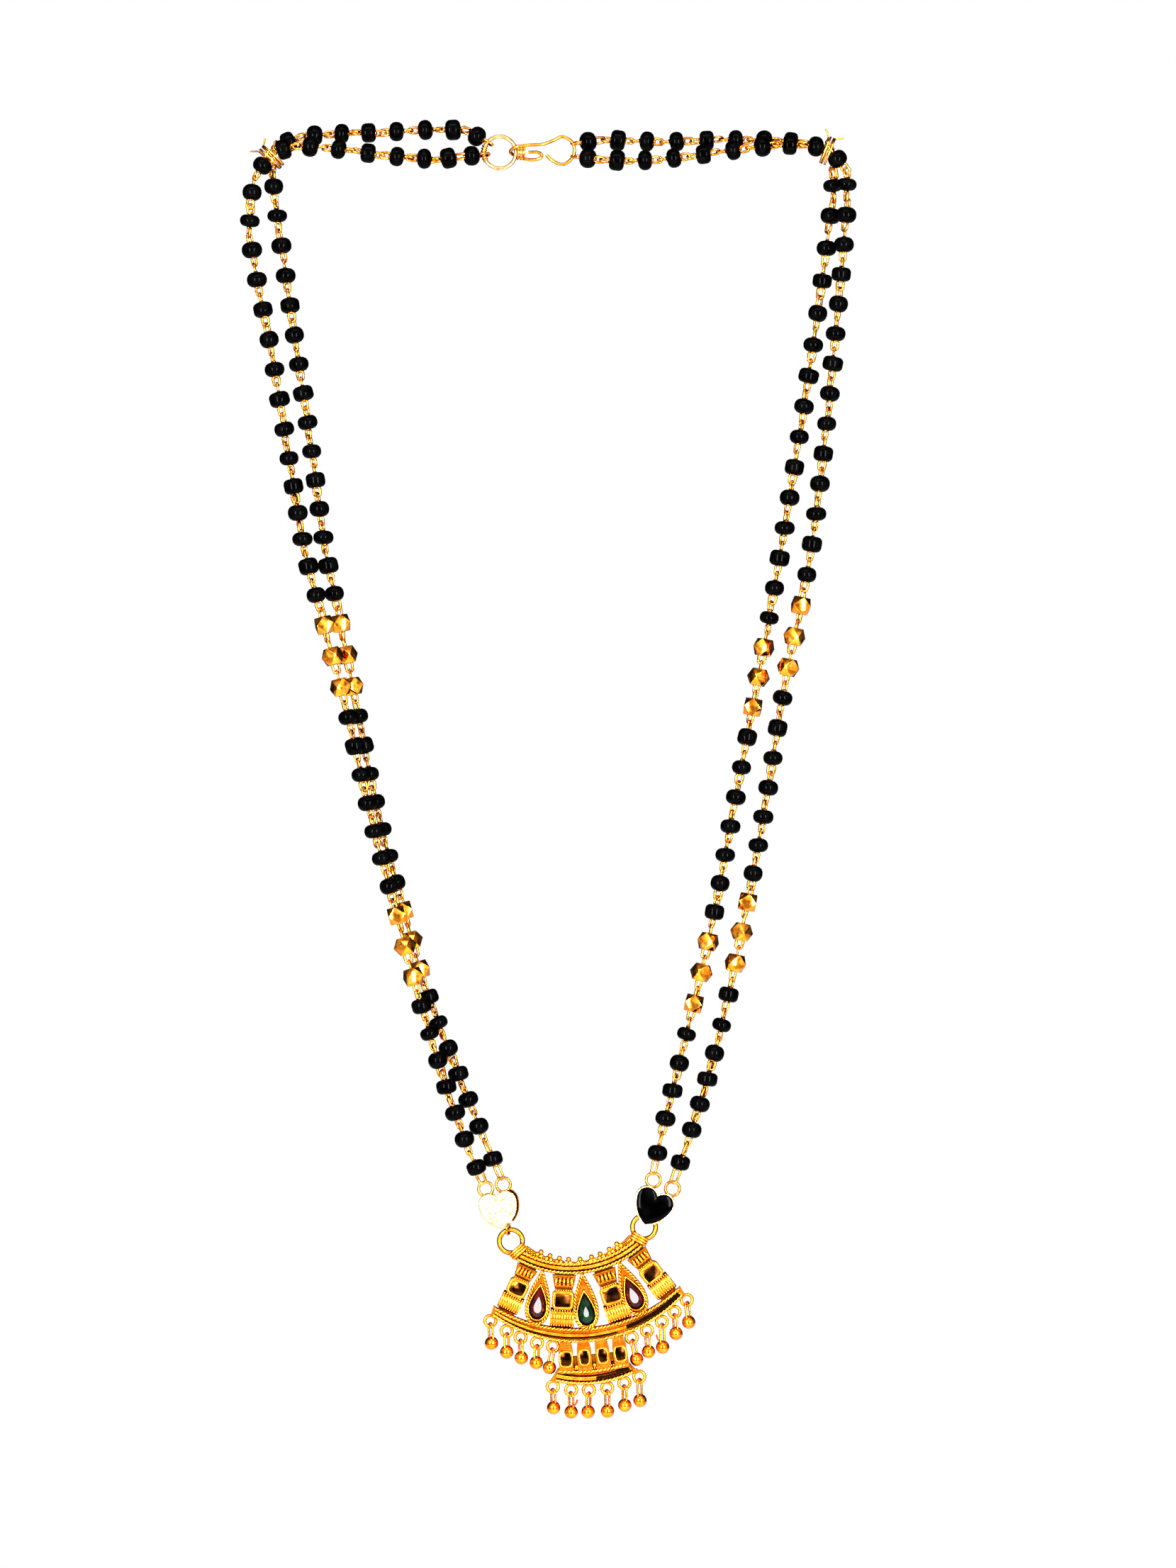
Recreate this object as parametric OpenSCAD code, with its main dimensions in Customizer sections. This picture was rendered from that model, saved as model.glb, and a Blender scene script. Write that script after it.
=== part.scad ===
// Mangalsutra: a necklace of two strands of black glass beads and faceted gold
// beads on wire links, with an S hook clasp, two heart connectors and a cast
// fan pendant with three pear stones and sixteen ball drops.
// It hangs as if worn. Millimetres. X runs to the viewer's right, Y runs to
// the back and Z is up. The origin is the middle of the top stretch, on the nape.

/* [Beads] */
// Outer diameter of a black glass bead
glass_d = 3.5; // [3.1:0.1:3.6]
// Length of a black glass bead along its hole
glass_len = 2.5; // [2.1:0.1:2.7]
// Radius of a black glass bead's rounded shoulders
glass_shoulder = 1.1; // [0.8:0.05:1.2]
// Share by which glass beads differ in size
glass_vary = 0.05; // [0:0.01:0.06]
// Width of a faceted gold bead across two square faces
gold_w = 3; // [2.6:0.1:3.1]

/* [Chain] */
// Outer diameter of the wire chain through the beads
chain_d = 0.8; // [0.5:0.05:0.9]
// Clearance between the chain and a bead's hole
hole_play = 0.15; // [0.1:0.01:0.2]
// Wire diameter of the eyes at the ends of the chains
eye_wire = 0.32; // [0.26:0.01:0.36]
// Clearance between a wire and the eye that holds it
link_play = 0.14; // [0.1:0.01:0.16]
// Wire diameter of the binding ties at the top corners
tie_wire = 0.34; // [0.26:0.01:0.36]
// Length of a binding tie's turns as seen from the front
tie_len = 5.2; // [4.8:0.1:5.6]
// Depth of a binding tie's turns from front to back
tie_depth = 5.2; // [4.9:0.1:5.6]

/* [Clasp] */
// Outer diameter of the clasp ring
ring_d = 6.3; // [5.8:0.1:6.8]
// Wire diameter of the clasp ring
ring_wire = 0.65; // [0.5:0.05:0.75]
// Wire diameter of the S hook
hook_wire = 0.56; // [0.46:0.02:0.6]
// Length of the S hook between the wire's centres
hook_len = 11.3; // [10.6:0.1:12]
// Height of the S hook's pear loop between the wire's centres
hook_h = 5; // [4.6:0.1:5.4]
// Distance by which each side of the hook clears the ring's wire
hook_play = 0.24; // [0.12:0.02:0.3]

/* [Hearts] */
// Width of a heart connector
heart_w = 7; // [6:0.1:7.6]
// Height of a heart connector from its tip to its lobes
heart_h = 6.6; // [6:0.1:7.2]
// Depth of a heart's gold setting
heart_depth = 1.3; // [1.1:0.1:1.5]
// Width of the gold rim round a heart's enamel
heart_rim = 0.35; // [0.25:0.05:0.5]
// Depth of the enamel's bed
heart_bed = 0.7; // [0.5:0.1:0.9]
// Height by which the enamel's dome stands over the rim
heart_dome = 0.45; // [0.3:0.05:0.6]
// Outer diameter of a heart's eyes
heart_eye_d = 3; // [2.6:0.1:3.1]
// Wire diameter of a heart's eyes
heart_eye_wire = 0.5; // [0.4:0.02:0.56]
// Inner diameter of the loop below a heart
heart_loop_in = 1.65; // [1.6:0.05:1.8]
// Wire diameter of the loop below a heart
heart_loop_wire = 0.42; // [0.36:0.02:0.5]

/* [Pendant] */
// Distance between the centres of the pendant's two end rings
end_span = 23.6; // [23:0.1:24]
// Outer diameter of an end ring
end_ring_d = 4.95; // [4.6:0.05:5.2]
// Wire diameter of an end ring
end_ring_wire = 0.85; // [0.7:0.05:0.9]
// Thickness of the fan's pierced plate
plate_t = 1.2; // [1:0.1:1.4]
// Height by which the relief stands in front of the plate
relief_h = 0.6; // [0.4:0.05:0.8]
// Outer diameter of an edge ring
edge_ring_d = 2.5; // [2.2:0.05:2.55]
// Wire diameter of an edge ring
edge_ring_wire = 0.55; // [0.45:0.05:0.6]
// Diameter of a crown granule
granule_d = 0.86; // [0.7:0.02:0.96]

/* [Stones] */
// Width of the pear stones
stone_w = 2.9; // [2.4:0.1:3.1]
// Length of the pear stones
stone_len = 5.9; // [5.4:0.1:6.1]
// Depth of a pear stone from its table to its back
stone_t = 1.9; // [1.5:0.1:2.1]
// Clearance between a stone and its bed
stone_play = 0.06; // [0.04:0.01:0.1]

/* [Drops] */
// Diameter of a ball drop
ball_d = 2.36; // [2:0.02:2.4]
// Wire diameter of a drop's loop
drop_wire = 0.4; // [0.3:0.02:0.42]
// Inner width of a drop's loop
drop_loop_in = 1.1; // [1.05:0.01:1.15]
// Clearance between a drop's loop and its edge ring
drop_play = 0.12; // [0.1:0.01:0.16]

/* [Hidden] */

X = 0;
Y = 1;
Z = 2;
GOLD = "#E8A21C";
BRIGHT = "#F6C64A";
GLASS = "#101010";
GREEN = "#0B3A1C";
RED = "#3A0A12";
ROUND = 48;

// Plain vector helpers.
function unit(v) = v / norm(v);
function ahead(p, q) = unit(q - p);
function turned(x, z, a) = [x * cos(a) - z * sin(a), 0, x * sin(a) + z * cos(a)];

// Joins ring after ring of points into one closed solid.
module skin(rings) {
    n = len(rings[0]);
    last = len(rings) - 1;
    polyhedron(
        points = [for (r = rings) for (p = r) p],
        faces = concat(
            [[for (k = [0:n - 1]) k]],
            [for (i = [0:last - 1]) for (k = [0:n - 1])
                [i * n + k, (i + 1) * n + k, (i + 1) * n + (k + 1) % n, i * n + (k + 1) % n]],
            [[for (k = [n - 1:-1:0]) last * n + k]]),
        convexity = 8);
}

// One ring of a wire at point i of its path. The reference direction is never
// along the wire, so the rings don't twist.
function wire_ring(path, i, d, sides, ref) =
    let (before = path[max(i - 1, 0)], after = path[min(i + 1, len(path) - 1)],
         along = unit(after - before),
         side = unit(cross(along, ref)),
         up = cross(along, side))
    [for (k = [0:sides - 1]) let (a = 360 * (k + 0.5) / sides)
        path[i] + d / 2 * (cos(a) * side + sin(a) * up)];

module wire(path, d, sides, ref) {
    skin([for (i = [0:len(path) - 1]) wire_ring(path, i, d, sides, ref)]);
}

// A smooth curve through the rows of a table whose first column is the place
// along it and whose other columns are x, y and z.
function row_point(row) = [row[1], row[2], row[3]];
function slope(rows, k) =
    let (a = max(k - 1, 0), b = min(k + 1, len(rows) - 1))
    (row_point(rows[b]) - row_point(rows[a])) / (rows[b][0] - rows[a][0]);
function span_of(rows, t, k = 0) =
    k >= len(rows) - 2 || t <= rows[k + 1][0] ? k : span_of(rows, t, k + 1);
function curve(rows, t) =
    let (k = span_of(rows, t), w = rows[k + 1][0] - rows[k][0], u = (t - rows[k][0]) / w)
    (2 * u ^ 3 - 3 * u ^ 2 + 1) * row_point(rows[k]) + (u ^ 3 - 2 * u ^ 2 + u) * w * slope(rows, k)
    + (3 * u ^ 2 - 2 * u ^ 3) * row_point(rows[k + 1]) + (u ^ 3 - u ^ 2) * w * slope(rows, k + 1);

// The clasp. The hook's rows give its place along the wire, then x, y and z as
// shares of half its length, of its side clearance and of half its height.
hook_mid = -1.85;
hook_side = (ring_wire + hook_wire) / 2 + hook_play;
HOOK_SHARES = [
    [0, 0.12, 0.45, -0.3], [1, 0.3, 0.15, -0.7], [2, 0.62, 0, -1], [3, 0.9, 0, -0.62],
    [4, 1, 0, 0], [5, 0.9, 0, 0.64], [6, 0.62, 0, 0.95], [7, 0.34, -0.2, 0.68],
    [8, 0, -0.8, 0.38], [9, -0.44, -1.1, 0.3], [10, -0.8, -1.05, 0.2], [11, -1, 0, -0.1],
    [12, -0.8, 1.05, -0.4], [13, -0.44, 1.1, -0.6], [14, -0.14, 0.9, -0.58],
    [15, -0.02, 0.6, -0.36], [16, -0.14, 0.45, -0.12], [17, -0.44, 0.4, -0.12]];
hook_rows = [for (r = HOOK_SHARES)
    [r[0], hook_mid + r[1] * hook_len / 2, r[2] * hook_side, r[3] * hook_h / 2]];
ring_r = (ring_d - ring_wire) / 2;
ring_slack = 0.35;
ring_x = hook_mid - hook_len / 2 + (hook_wire + ring_wire) / 2 + ring_slack - ring_r;
ring_z = -0.4;
function ring_point(a) = [ring_x + ring_r * cos(a), 0, ring_z + ring_r * sin(a)];
outer_ring_a = 188;
inner_ring_a = 140;
outer_hook_t = 3.35;
inner_hook_t = 4.7;

// The pendant's own plane: x and z from the middle between its end rings,
// turned by the angle at which it hangs.
fan_at = [4.33, 0, -191.1];
fan_tilt = 6;
function fan(x, z) = fan_at + turned(x, z, fan_tilt);
end_ring_r = (end_ring_d - end_ring_wire) / 2;
end_ring_z = -0.05;
hinge_left = fan(-end_span / 2, end_ring_z + end_ring_r);
hinge_right = fan(end_span / 2, end_ring_z + end_ring_r);

// Where each heart's loop, tip and eyes are. Columns: side of the pendant,
// loop's x and y offset from the hinge, loop's turn, tip's offset x, y and z
// from the loop, lean, half turn about the upright axis, then each eye's x and
// height over the tip, and the angle at which its chain pulls.
HEARTS = [
    ["left", -0.3, 0, -14, -0.25, 0.3, 0.62, -14, 180, -2.05, 7.05, 1.15, 7.05, -20, -14],
    ["right", 0.1, 0, 0, 0.24, -1.6, -1.58, 24.4, 0, -1.85, 7.7, 1.85, 7.7, -2, 6]];
LOOP_X = 1;
LOOP_Y = 2;
LOOP_TURN = 3;
TIP = 4;
LEAN = TIP + 3;
HALF_TURN = LEAN + 1;
EYES = HALF_TURN + 1;
PULLS = EYES + 4;
loop_r = (heart_loop_in + heart_loop_wire) / 2;
loop_drop = heart_loop_in / 2 - end_ring_wire / 2 - 0.2;
heart_eye_r = (heart_eye_d - heart_eye_wire) / 2;
function hinge(h) = h == 0 ? hinge_left : hinge_right;
function loop_at(h) = hinge(h) + [HEARTS[h][LOOP_X], HEARTS[h][LOOP_Y], loop_drop];
function tip_at(h) = loop_at(h) + [HEARTS[h][TIP], HEARTS[h][TIP + 1], HEARTS[h][TIP + 2]];
eye_shift = heart_depth / 2 - heart_eye_wire / 2 - 0.05;
function heart_eye(h, e) =
    tip_at(h) + turned(HEARTS[h][EYES + 2 * e], HEARTS[h][EYES + 2 * e + 1], -HEARTS[h][LEAN])
    + [0, eye_shift * cos(HEARTS[h][HALF_TURN]), 0];
function pull_point(h, e) =
    let (a = HEARTS[h][PULLS + e]) heart_eye(h, e) + heart_eye_r * [sin(a), 0, cos(a)];

// The strands' routes. Each row gives a joint's number, counted from the
// clasp, then x, y and z. The first and last joints sit on the clasp and on a
// heart's eye.
function with_ends(start, rows, count, end) =
    concat([concat([0], start)], rows, [concat([count], end)]);
LEFT_OUTER = with_ends(ring_point(outer_ring_a), [
    [1, -16.5, -1, -1.3], [2, -20.3, -1.3, -1.8], [4, -29.9, -1.7, -1.1], [6, -40.3, -1.75, 0.3],
    [7, -45.1, -1.75, 0.5], [8, -49.7, -1.7, -0.7], [9, -52.5, -1.7, -5.2], [11, -53.3, -1.75, -15.2],
    [15, -49.4, -1.8, -36.2], [19, -46, -1.8, -57], [22, -43.6, -1.8, -71], [24, -40.9, -2.1, -81.1],
    [27, -36.6, -2.1, -97.4], [31, -32, -1.8, -117.6], [34, -28.1, -2.1, -132.2],
    [37, -23.8, -2.1, -148.3], [40, -19.5, -1.6, -162.7], [43, -14.7, -1.4, -176.6]],
    44, pull_point(0, 0));
LEFT_INNER = with_ends(ring_point(inner_ring_a), [
    [1, -15.3, 0.9, 3.6], [2, -20, 1.3, 3.9], [4, -30.2, 1.7, 3.4], [6, -39.7, 1.75, 3.1],
    [7, -44.6, 1.75, 2.6], [8, -48.9, 1.5, 0.8], [9, -49.6, 1.5, -3.6], [10, -49.1, 1.75, -8.7],
    [14, -46.1, 1.8, -29.8], [18, -43, 1.8, -50.4], [22, -40.2, 1.8, -70.7], [24, -38.1, 2.1, -80.6],
    [27, -34.9, 2.1, -97.2], [31, -30.9, 1.8, -117.4], [34, -27.1, 2.1, -131.6],
    [37, -22.8, 2.1, -147.1], [40, -17.6, 1.5, -160.7], [43, -12.1, 0.9, -174.6]],
    44, pull_point(0, 1));
RIGHT_OUTER = with_ends(curve(hook_rows, outer_hook_t), [
    [1, 8.8, -1.85, -2], [3, 18.7, -1.7, -1.9], [5, 29.1, -1.75, -0.6], [7, 39.4, -1.85, 0.7],
    [8, 44, -1.85, 0.7], [9, 48.6, -1.6, 0], [10, 51.6, -1.6, -3.5], [11, 51.8, -1.75, -9],
    [15, 50, -1.75, -29.9], [19, 47.9, -1.6, -51], [23, 45.2, -1.4, -72.2], [27, 40.9, -1.2, -93.9],
    [31, 37.5, -1, -115], [35, 33.8, -0.8, -135.1], [39, 29.1, -0.9, -156.8],
    [43, 23.7, -1.3, -175]],
    44, pull_point(1, 1));
RIGHT_INNER = with_ends(curve(hook_rows, inner_hook_t), [
    [1, 8.9, 1.85, 2.1], [3, 19.2, 1.7, 1.7], [5, 29.8, 1.75, 2.1], [7, 39.8, 1.85, 1.9],
    [8, 44.2, 1.85, 1.5], [9, 48.6, 1.6, 0.5], [10, 49.6, 1.6, -3.5], [11, 49.4, 1.75, -8.5],
    [15, 46.4, 1.75, -31.4], [19, 43.1, 1.6, -53.1], [23, 39.6, 1.4, -74.5], [27, 35.8, 1.2, -95.5],
    [31, 31.8, 1, -116.7], [35, 28, 0.7, -136.9], [39, 22.9, -0.4, -158.5],
    [42, 19.2, -1.2, -173.2]],
    43, pull_point(1, 0));

// What each link of a strand carries, counted from the clasp: b is a glass
// bead, g a gold bead and - a bare link. Each run is a kind and a number.
RUNS_LEFT_OUTER = [["b", 24], ["g", 3], ["b", 7], ["g", 3], ["b", 7]];
RUNS_LEFT_INNER = [["b", 8], ["-", 1], ["b", 15], ["g", 3], ["b", 7], ["g", 3], ["b", 7]];
RUNS_RIGHT_OUTER = [["b", 24], ["g", 3], ["b", 7], ["g", 3], ["b", 7]];
RUNS_RIGHT_INNER = [["b", 9], ["-", 1], ["b", 15], ["g", 3], ["b", 7], ["g", 3], ["b", 5]];
function kinds(runs) = [for (r = runs) for (k = [1:r[1]]) r[0]];
function joints(rows) = [for (j = [0:rows[len(rows) - 1][0]]) curve(rows, j)];

// Puts children, made along Z about the origin, on the link from p to q.
module on_link(p, q) {
    d = q - p;
    translate((p + q) / 2) rotate([0, acos(d[Z] / norm(d)), atan2(d[Y], d[X])]) children();
}

hole_d = chain_d + 2 * hole_play;

// A ring with round shoulders, drawn as the half of its section.
module glass_bead(i) {
    high = glass_len / 2 * (1 + glass_vary * sin(131 * i + 40));
    wide = glass_d / 2 * (1 + glass_vary * sin(73 * i));
    bore = hole_d / 2;
    c = min(glass_shoulder, high, wide - bore);
    rotate_extrude($fn = ROUND) intersection() {
        union() {
            for (q = [-1, 1]) translate([wide - c, q * (high - c)]) circle(c, $fn = ROUND);
            translate([0, -high]) square([wide - c, 2 * high]);
            translate([0, c - high]) square([wide, 2 * (high - c)]);
        }
        translate([bore, -high]) square([wide, 2 * high]);
    }
}

// A cuboctahedron: six square and eight triangular facets, drilled through
// two square ones.
module gold_bead() {
    a = gold_w / 2;
    difference() {
        polyhedron(
            points = [[a, 0, a], [0, a, a], [-a, 0, a], [0, -a, a],
                      [a, a, 0], [-a, a, 0], [-a, -a, 0], [a, -a, 0],
                      [a, 0, -a], [0, a, -a], [-a, 0, -a], [0, -a, -a]],
            faces = [[3, 2, 1, 0], [8, 9, 10, 11],
                     [0, 4, 8, 7], [1, 5, 9, 4], [2, 6, 10, 5], [3, 7, 11, 6],
                     [0, 1, 4], [1, 2, 5], [2, 3, 6], [3, 0, 7],
                     [8, 4, 9], [9, 5, 10], [10, 6, 11], [11, 7, 8]]);
        cylinder(h = 2 * gold_w, d = hole_d, center = true, $fn = ROUND);
    }
}

module glass_beads(rows, runs) {
    j = joints(rows);
    k = kinds(runs);
    color(GLASS) for (i = [0:len(k) - 1]) if (k[i] == "b") on_link(j[i], j[i + 1]) glass_bead(i);
}

module gold_beads(rows, runs) {
    j = joints(rows);
    k = kinds(runs);
    roll = 37;
    color(BRIGHT) for (i = [0:len(k) - 1]) if (k[i] == "g")
        on_link(j[i], j[i + 1]) rotate([0, 0, roll * i]) gold_bead();
}

// An eye round a wire at p. It lies in the plane of its chain and of Y.
module end_eye(p, d, held) {
    r = (held + eye_wire) / 2 + link_play;
    translate(p) rotate([0, atan2(-d[Z], d[X]), 0]) ring(r, eye_wire);
}

module ring(r, w) {
    rotate_extrude($fn = ROUND) translate([r, 0]) circle(d = w, $fn = ROUND / 2);
}

// The chain is drawn as one round tube from eye to eye.
module chain(rows, held_start, held_end) {
    j = joints(rows);
    n = len(j) - 1;
    start = ahead(j[0], j[1]);
    end = ahead(j[n], j[n - 1]);
    back_start = (held_start + eye_wire) / 2 + link_play;
    back_end = (held_end + eye_wire) / 2 + link_play;
    path = [for (i = [0:n]) i == 0 ? j[0] + back_start * start : i == n ? j[n] + back_end * end : j[i]];
    color(GOLD) {
        wire(path, chain_d, 8, [0, 1, 0]);
        end_eye(j[0], start, held_start);
        end_eye(j[n], end, held_end);
    }
}

module clasp_ring() {
    color(GOLD) translate([ring_x, 0, ring_z]) rotate([90, 0, 0]) ring(ring_r, ring_wire);
}

module clasp_hook() {
    last = len(hook_rows) - 1;
    step = 1 / 3;
    color(GOLD) wire([for (t = [0:step:last]) curve(hook_rows, t)], hook_wire, 8, [0, 1, 0]);
}

// A tie's turns of fine wire round both chains. The axis is the one about
// which the wire is wound, as an angle in the X and Z plane.
module corner_tie(at, axis, turns) {
    pitch = 1.12 * tie_wire;
    along = [cos(axis), 0, sin(axis)];
    across = [-sin(axis), 0, cos(axis)];
    a = (tie_len - tie_wire) / 2;
    b = (tie_depth - tie_wire) / 2;
    per_turn = 16;
    steps = turns * per_turn;
    color(GOLD) wire([for (i = [0:steps]) let (w = 360 * i / per_turn)
        at + a * cos(w) * across + b * sin(w) * [0, 1, 0] + pitch * (i - steps / 2) / per_turn * along],
        tie_wire, 6, along);
}

// A heart's outline from its tip at the origin: two lobes, and straight sides
// that touch them.
function heart_outline(w, h) =
    let (c = 0.23 * w, r = w / 2 - c, zc = h - r,
         touch = atan2(-zc, -c) + acos(r / norm([c, zc])),
         notch = 180 - acos(c / r), steps = 9,
         lobe = [for (i = [0:steps]) let (a = touch + (notch - touch) * i / steps)
             [c + r * cos(a), zc + r * sin(a)]])
    concat([[0, 0]], lobe, [for (i = [steps - 1:-1:0]) [-lobe[i][0], lobe[i][1]]]);
function scaled_outline(points, s, about) = [for (p = points) about + s * (p - about)];
heart_points = heart_outline(heart_w, heart_h);
heart_mid = [0, 0.55 * heart_h];
bed_share = 1 - 2 * heart_rim / heart_w;
enamel_gap = 0.08;

// Places a heart's parts, drawn upright with the tip at the origin, the front
// towards -Y and the depth from 0 to heart_depth behind it.
module at_heart(h) {
    translate(tip_at(h)) rotate([0, HEARTS[h][LEAN], 0])
        rotate([0, 0, HEARTS[h][HALF_TURN]]) translate([0, -heart_depth / 2, 0]) children();
}

// A flat shape in X and Z, from y = y0 back to y = y1.
module plate(y0, y1) {
    translate([0, y1, 0]) rotate([90, 0, 0]) linear_extrude(y1 - y0) children();
}

module heart_setting(h) {
    color(BRIGHT) {
        at_heart(h) difference() {
            plate(0, heart_depth) polygon(heart_points);
            plate(-1, heart_bed) polygon(scaled_outline(heart_points, bed_share, heart_mid));
        }
        for (e = [0:1]) translate(heart_eye(h, e)) rotate([90, 0, 0]) ring(heart_eye_r, heart_eye_wire);
        translate(loop_at(h)) rotate([0, 90, HEARTS[h][LOOP_TURN]]) ring(loop_r, heart_loop_wire);
    }
}

// Rows of the enamel's dome: share of the bed's outline, and share of its rise.
DOME = [[1, 0], [0.96, 0.35], [0.84, 0.7], [0.6, 0.93], [0.25, 1]];
module heart_enamel(h) {
    share = bed_share - 2 * enamel_gap / heart_w;
    rings = concat([[share, heart_bed - enamel_gap]],
        [for (d = DOME) [share * d[0], 0.02 - (heart_dome + 0.02) * d[1]]]);
    color(GLASS) at_heart(h)
        skin([for (r = rings) [for (p = scaled_outline(heart_points, r[0], heart_mid)) [p[0], r[1], p[1]]]]);
}

// The pendant. Everything below is drawn in the fan's own plane.
module in_fan() {
    translate(fan_at) rotate([0, -fan_tilt, 0]) children();
}
front = -plate_t / 2;
back = plate_t / 2;
raised = front - relief_h;

// A band between two arcs that open upwards. Each arc is a centre height and a
// radius; the ends are cut by two lines that meet at the point cut_z.
module band(mid_x, low, high, cut_z, cut_a) {
    far = 60;
    intersection() {
        difference() {
            translate([mid_x, low[0]]) circle(low[1], $fn = 180);
            translate([mid_x, high[0]]) circle(high[1], $fn = 180);
        }
        translate([mid_x, cut_z])
            polygon(far * [[0, 0], [-sin(cut_a), -cos(cut_a)], [sin(cut_a), -cos(cut_a)]]);
    }
}

// A round rail that follows an arc in the plate's front.
module rail(mid_x, centre_z, r, half_a, d, y) {
    translate([mid_x, y, centre_z]) rotate([90, 0, 0]) rotate([0, 0, -90 - half_a])
        rotate_extrude(angle = 2 * half_a, $fn = 180) translate([r, 0]) circle(d = d, $fn = 24);
}

// Bands: columns are mid_x, lower arc, upper arc, cut_z and cut_a.
TOP_BAND = [0, [12.3, 19.3], [7.9, 12.8], 5.5, 53.3];
MAIN_BAND = [0.5, [6.4, 25.5], [10.65, 27.25], 25.7, 24.2];
LOW_BAND = [0.3, [-5.8, 20.8], [11.3, 35], -15.4, 38.2];

// Rails: columns are mid_x, centre height, radius, half angle and diameter.
RAILS = [
    [0, 12.3, 17.52, 34, 0.46], [0, 12.3, 18.26, 34.6, 0.76], [0, 12.3, 19, 35.2, 0.46],
    [0.5, 10.65, 27.48, 36.5, 0.4], [0.5, 8.5, 26.35, 38.5, 0.6], [0.5, 6.4, 25.27, 41.5, 0.4],
    [0.3, 6.6, 30.85, 11.6, 0.44], [0.3, -5.8, 19.7, 19.5, 0.8], [0.3, -5.8, 20.5, 19.5, 0.44]];

// A pear outline with its tip at the origin and its round end below.
function teardrop(length, w) =
    let (n = 24, sharp = 1.2, widest = 0.746)
    [for (i = [0:n - 1]) let (t = 360 * i / n)
        [w / 2 * sin(t) * pow(abs(sin(t / 2)), sharp) / widest, -length / 2 * (1 - cos(t))]];

// Settings: columns are tip x and z, lean, length and width of the setting,
// and the distance from its tip to the stone's tip.
SETTINGS = [
    ["stone_green", 0.1, -6.7, 0, 10.15, 4.5, 3.4],
    ["stone_red_left", -6.75, -5.5, -13.5, 9.9, 4.4, 2.8],
    ["stone_red_right", 6.75, -5.5, 17.5, 10.2, 4.4, 3]];
module at_setting(s) {
    translate([s[1], 0, s[2]]) rotate([0, -s[3], 0]) children();
}
bed_y = front + 0.25;
collet_rise = 0.15;

module setting_body(s) {
    at_setting(s) plate(raised - collet_rise, back) polygon(teardrop(s[4], s[5]));
}

// The bed is longer than the stone by six clearances and wider by three,
// because the clearance across the pointed tip is narrower than along it.
module setting_bed(s) {
    bed = teardrop(stone_len + 6 * stone_play, stone_w + 3 * stone_play);
    at_setting(s) translate([0, 0, -s[6] + 4 * stone_play]) plate(raised - stone_t, bed_y) polygon(bed);
}

// Rows of a cut stone: share of its outline and share of its depth, from the
// back to the table.
CUT = [[0.5, 0], [1, 0.3], [1, 0.42], [0.86, 0.72], [0.6, 1]];
girdle_mid = 0.62;
module stone(k, tone) {
    s = SETTINGS[k];
    mid = [0, -girdle_mid * stone_len];
    color(tone) in_fan() at_setting(s) translate([0, bed_y - stone_play, -s[6]])
        skin([for (c = CUT) [for (p = scaled_outline(teardrop(stone_len, stone_w), c[0], mid))
            [p[0], -c[1] * stone_t, p[1]]]]);
}

// Columns of the fan: top's x and z, lean, share of the full size, and the
// length of the foot that joins the main band.
COLUMNS = [
    [-9.2, -4.6, -31.5, 0.92, 1.1], [-3, -6.6, -9, 1, 0.5], [3.9, -6.6, 12.5, 1, 0.5],
    [9.8, -4.2, 32, 0.97, 1.1]];
// Full sizes of a column's capital, box and barrel.
cap_len = 3.1;
cap_top = 4.2;
cap_foot = 2.9;
box_len = 3.2;
box_w = 3.9;
drum_len = 3.1;
drum_w = 4.2;
// The capital's flutes, and the two rings at its foot as shares of its length.
flute_w = 0.3;
flute_h = 0.35;
flutes = 5;
CAP_RINGS = [0.72, 0.94];
cap_ring_share = 0.72;
// Width and height of the box's mirror facet as a share of the box, and its tilt.
facet_share = 0.66;
facet_tilt = [14, 0, 10];
facet_cut = 0.9;
// The tabs that join a column to the bands lie inside the plate.
tab_front = front + 0.35;
tab_back = back - 0.1;
tab_top = 1.1;
tab_share = 0.8;

module column_tabs(s, foot) {
    root = s * (cap_len + box_len);
    drum = s * drum_len;
    plate(tab_front, tab_back) {
        translate([0, -root - (drum + foot) / 2])
            square([tab_share * s * drum_w, drum + foot], center = true);
        square([tab_share * s * cap_top, tab_top], center = true);
    }
}

module column_capital(s) {
    top = s * cap_top;
    foot = s * cap_foot;
    high = s * cap_len;
    seat = 0.35;
    lap = 0.2;
    flute_top = 0.6;
    flute_end = 0.62 * high;
    plate(front - 0.1, back)
        polygon([[-top / 2, -seat], [top / 2, -seat], [foot / 2, -high - lap], [-foot / 2, -high - lap]]);
    for (k = [0:flutes - 1]) let (u = (k + 0.5) / flutes - 0.5, low = 0.9 * foot, w = flute_w / 2)
        plate(front - flute_h, front) polygon([[u * top - w, -flute_top], [u * top + w, -flute_top],
            [u * low + w, -flute_end], [u * low - w, -flute_end]]);
    for (z = CAP_RINGS) translate([-cap_ring_share * top / 2, front - 0.4, -z * high - flute_w / 2])
        cube([cap_ring_share * top, 0.6, flute_w]);
}

// An eight sided box with a mirror facet sunk into its front.
module column_box(s) {
    w = s * box_w;
    high = s * box_len;
    flat = 0.36 * w;
    side = 0.75 * flat;
    lap = 0.1;
    translate([0, 0, -s * cap_len - high / 2]) difference() {
        plate(raised, back) polygon([
            [w / 2, -side], [w / 2, side], [flat, high / 2 + lap], [-flat, high / 2 + lap],
            [-w / 2, side], [-w / 2, -side], [-flat, -high / 2 - lap], [flat, -high / 2 - lap]]);
        translate([0, raised - 0.1, -0.1]) rotate(facet_tilt)
            cube([facet_share * w, facet_cut, facet_share * high], center = true);
    }
}

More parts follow.
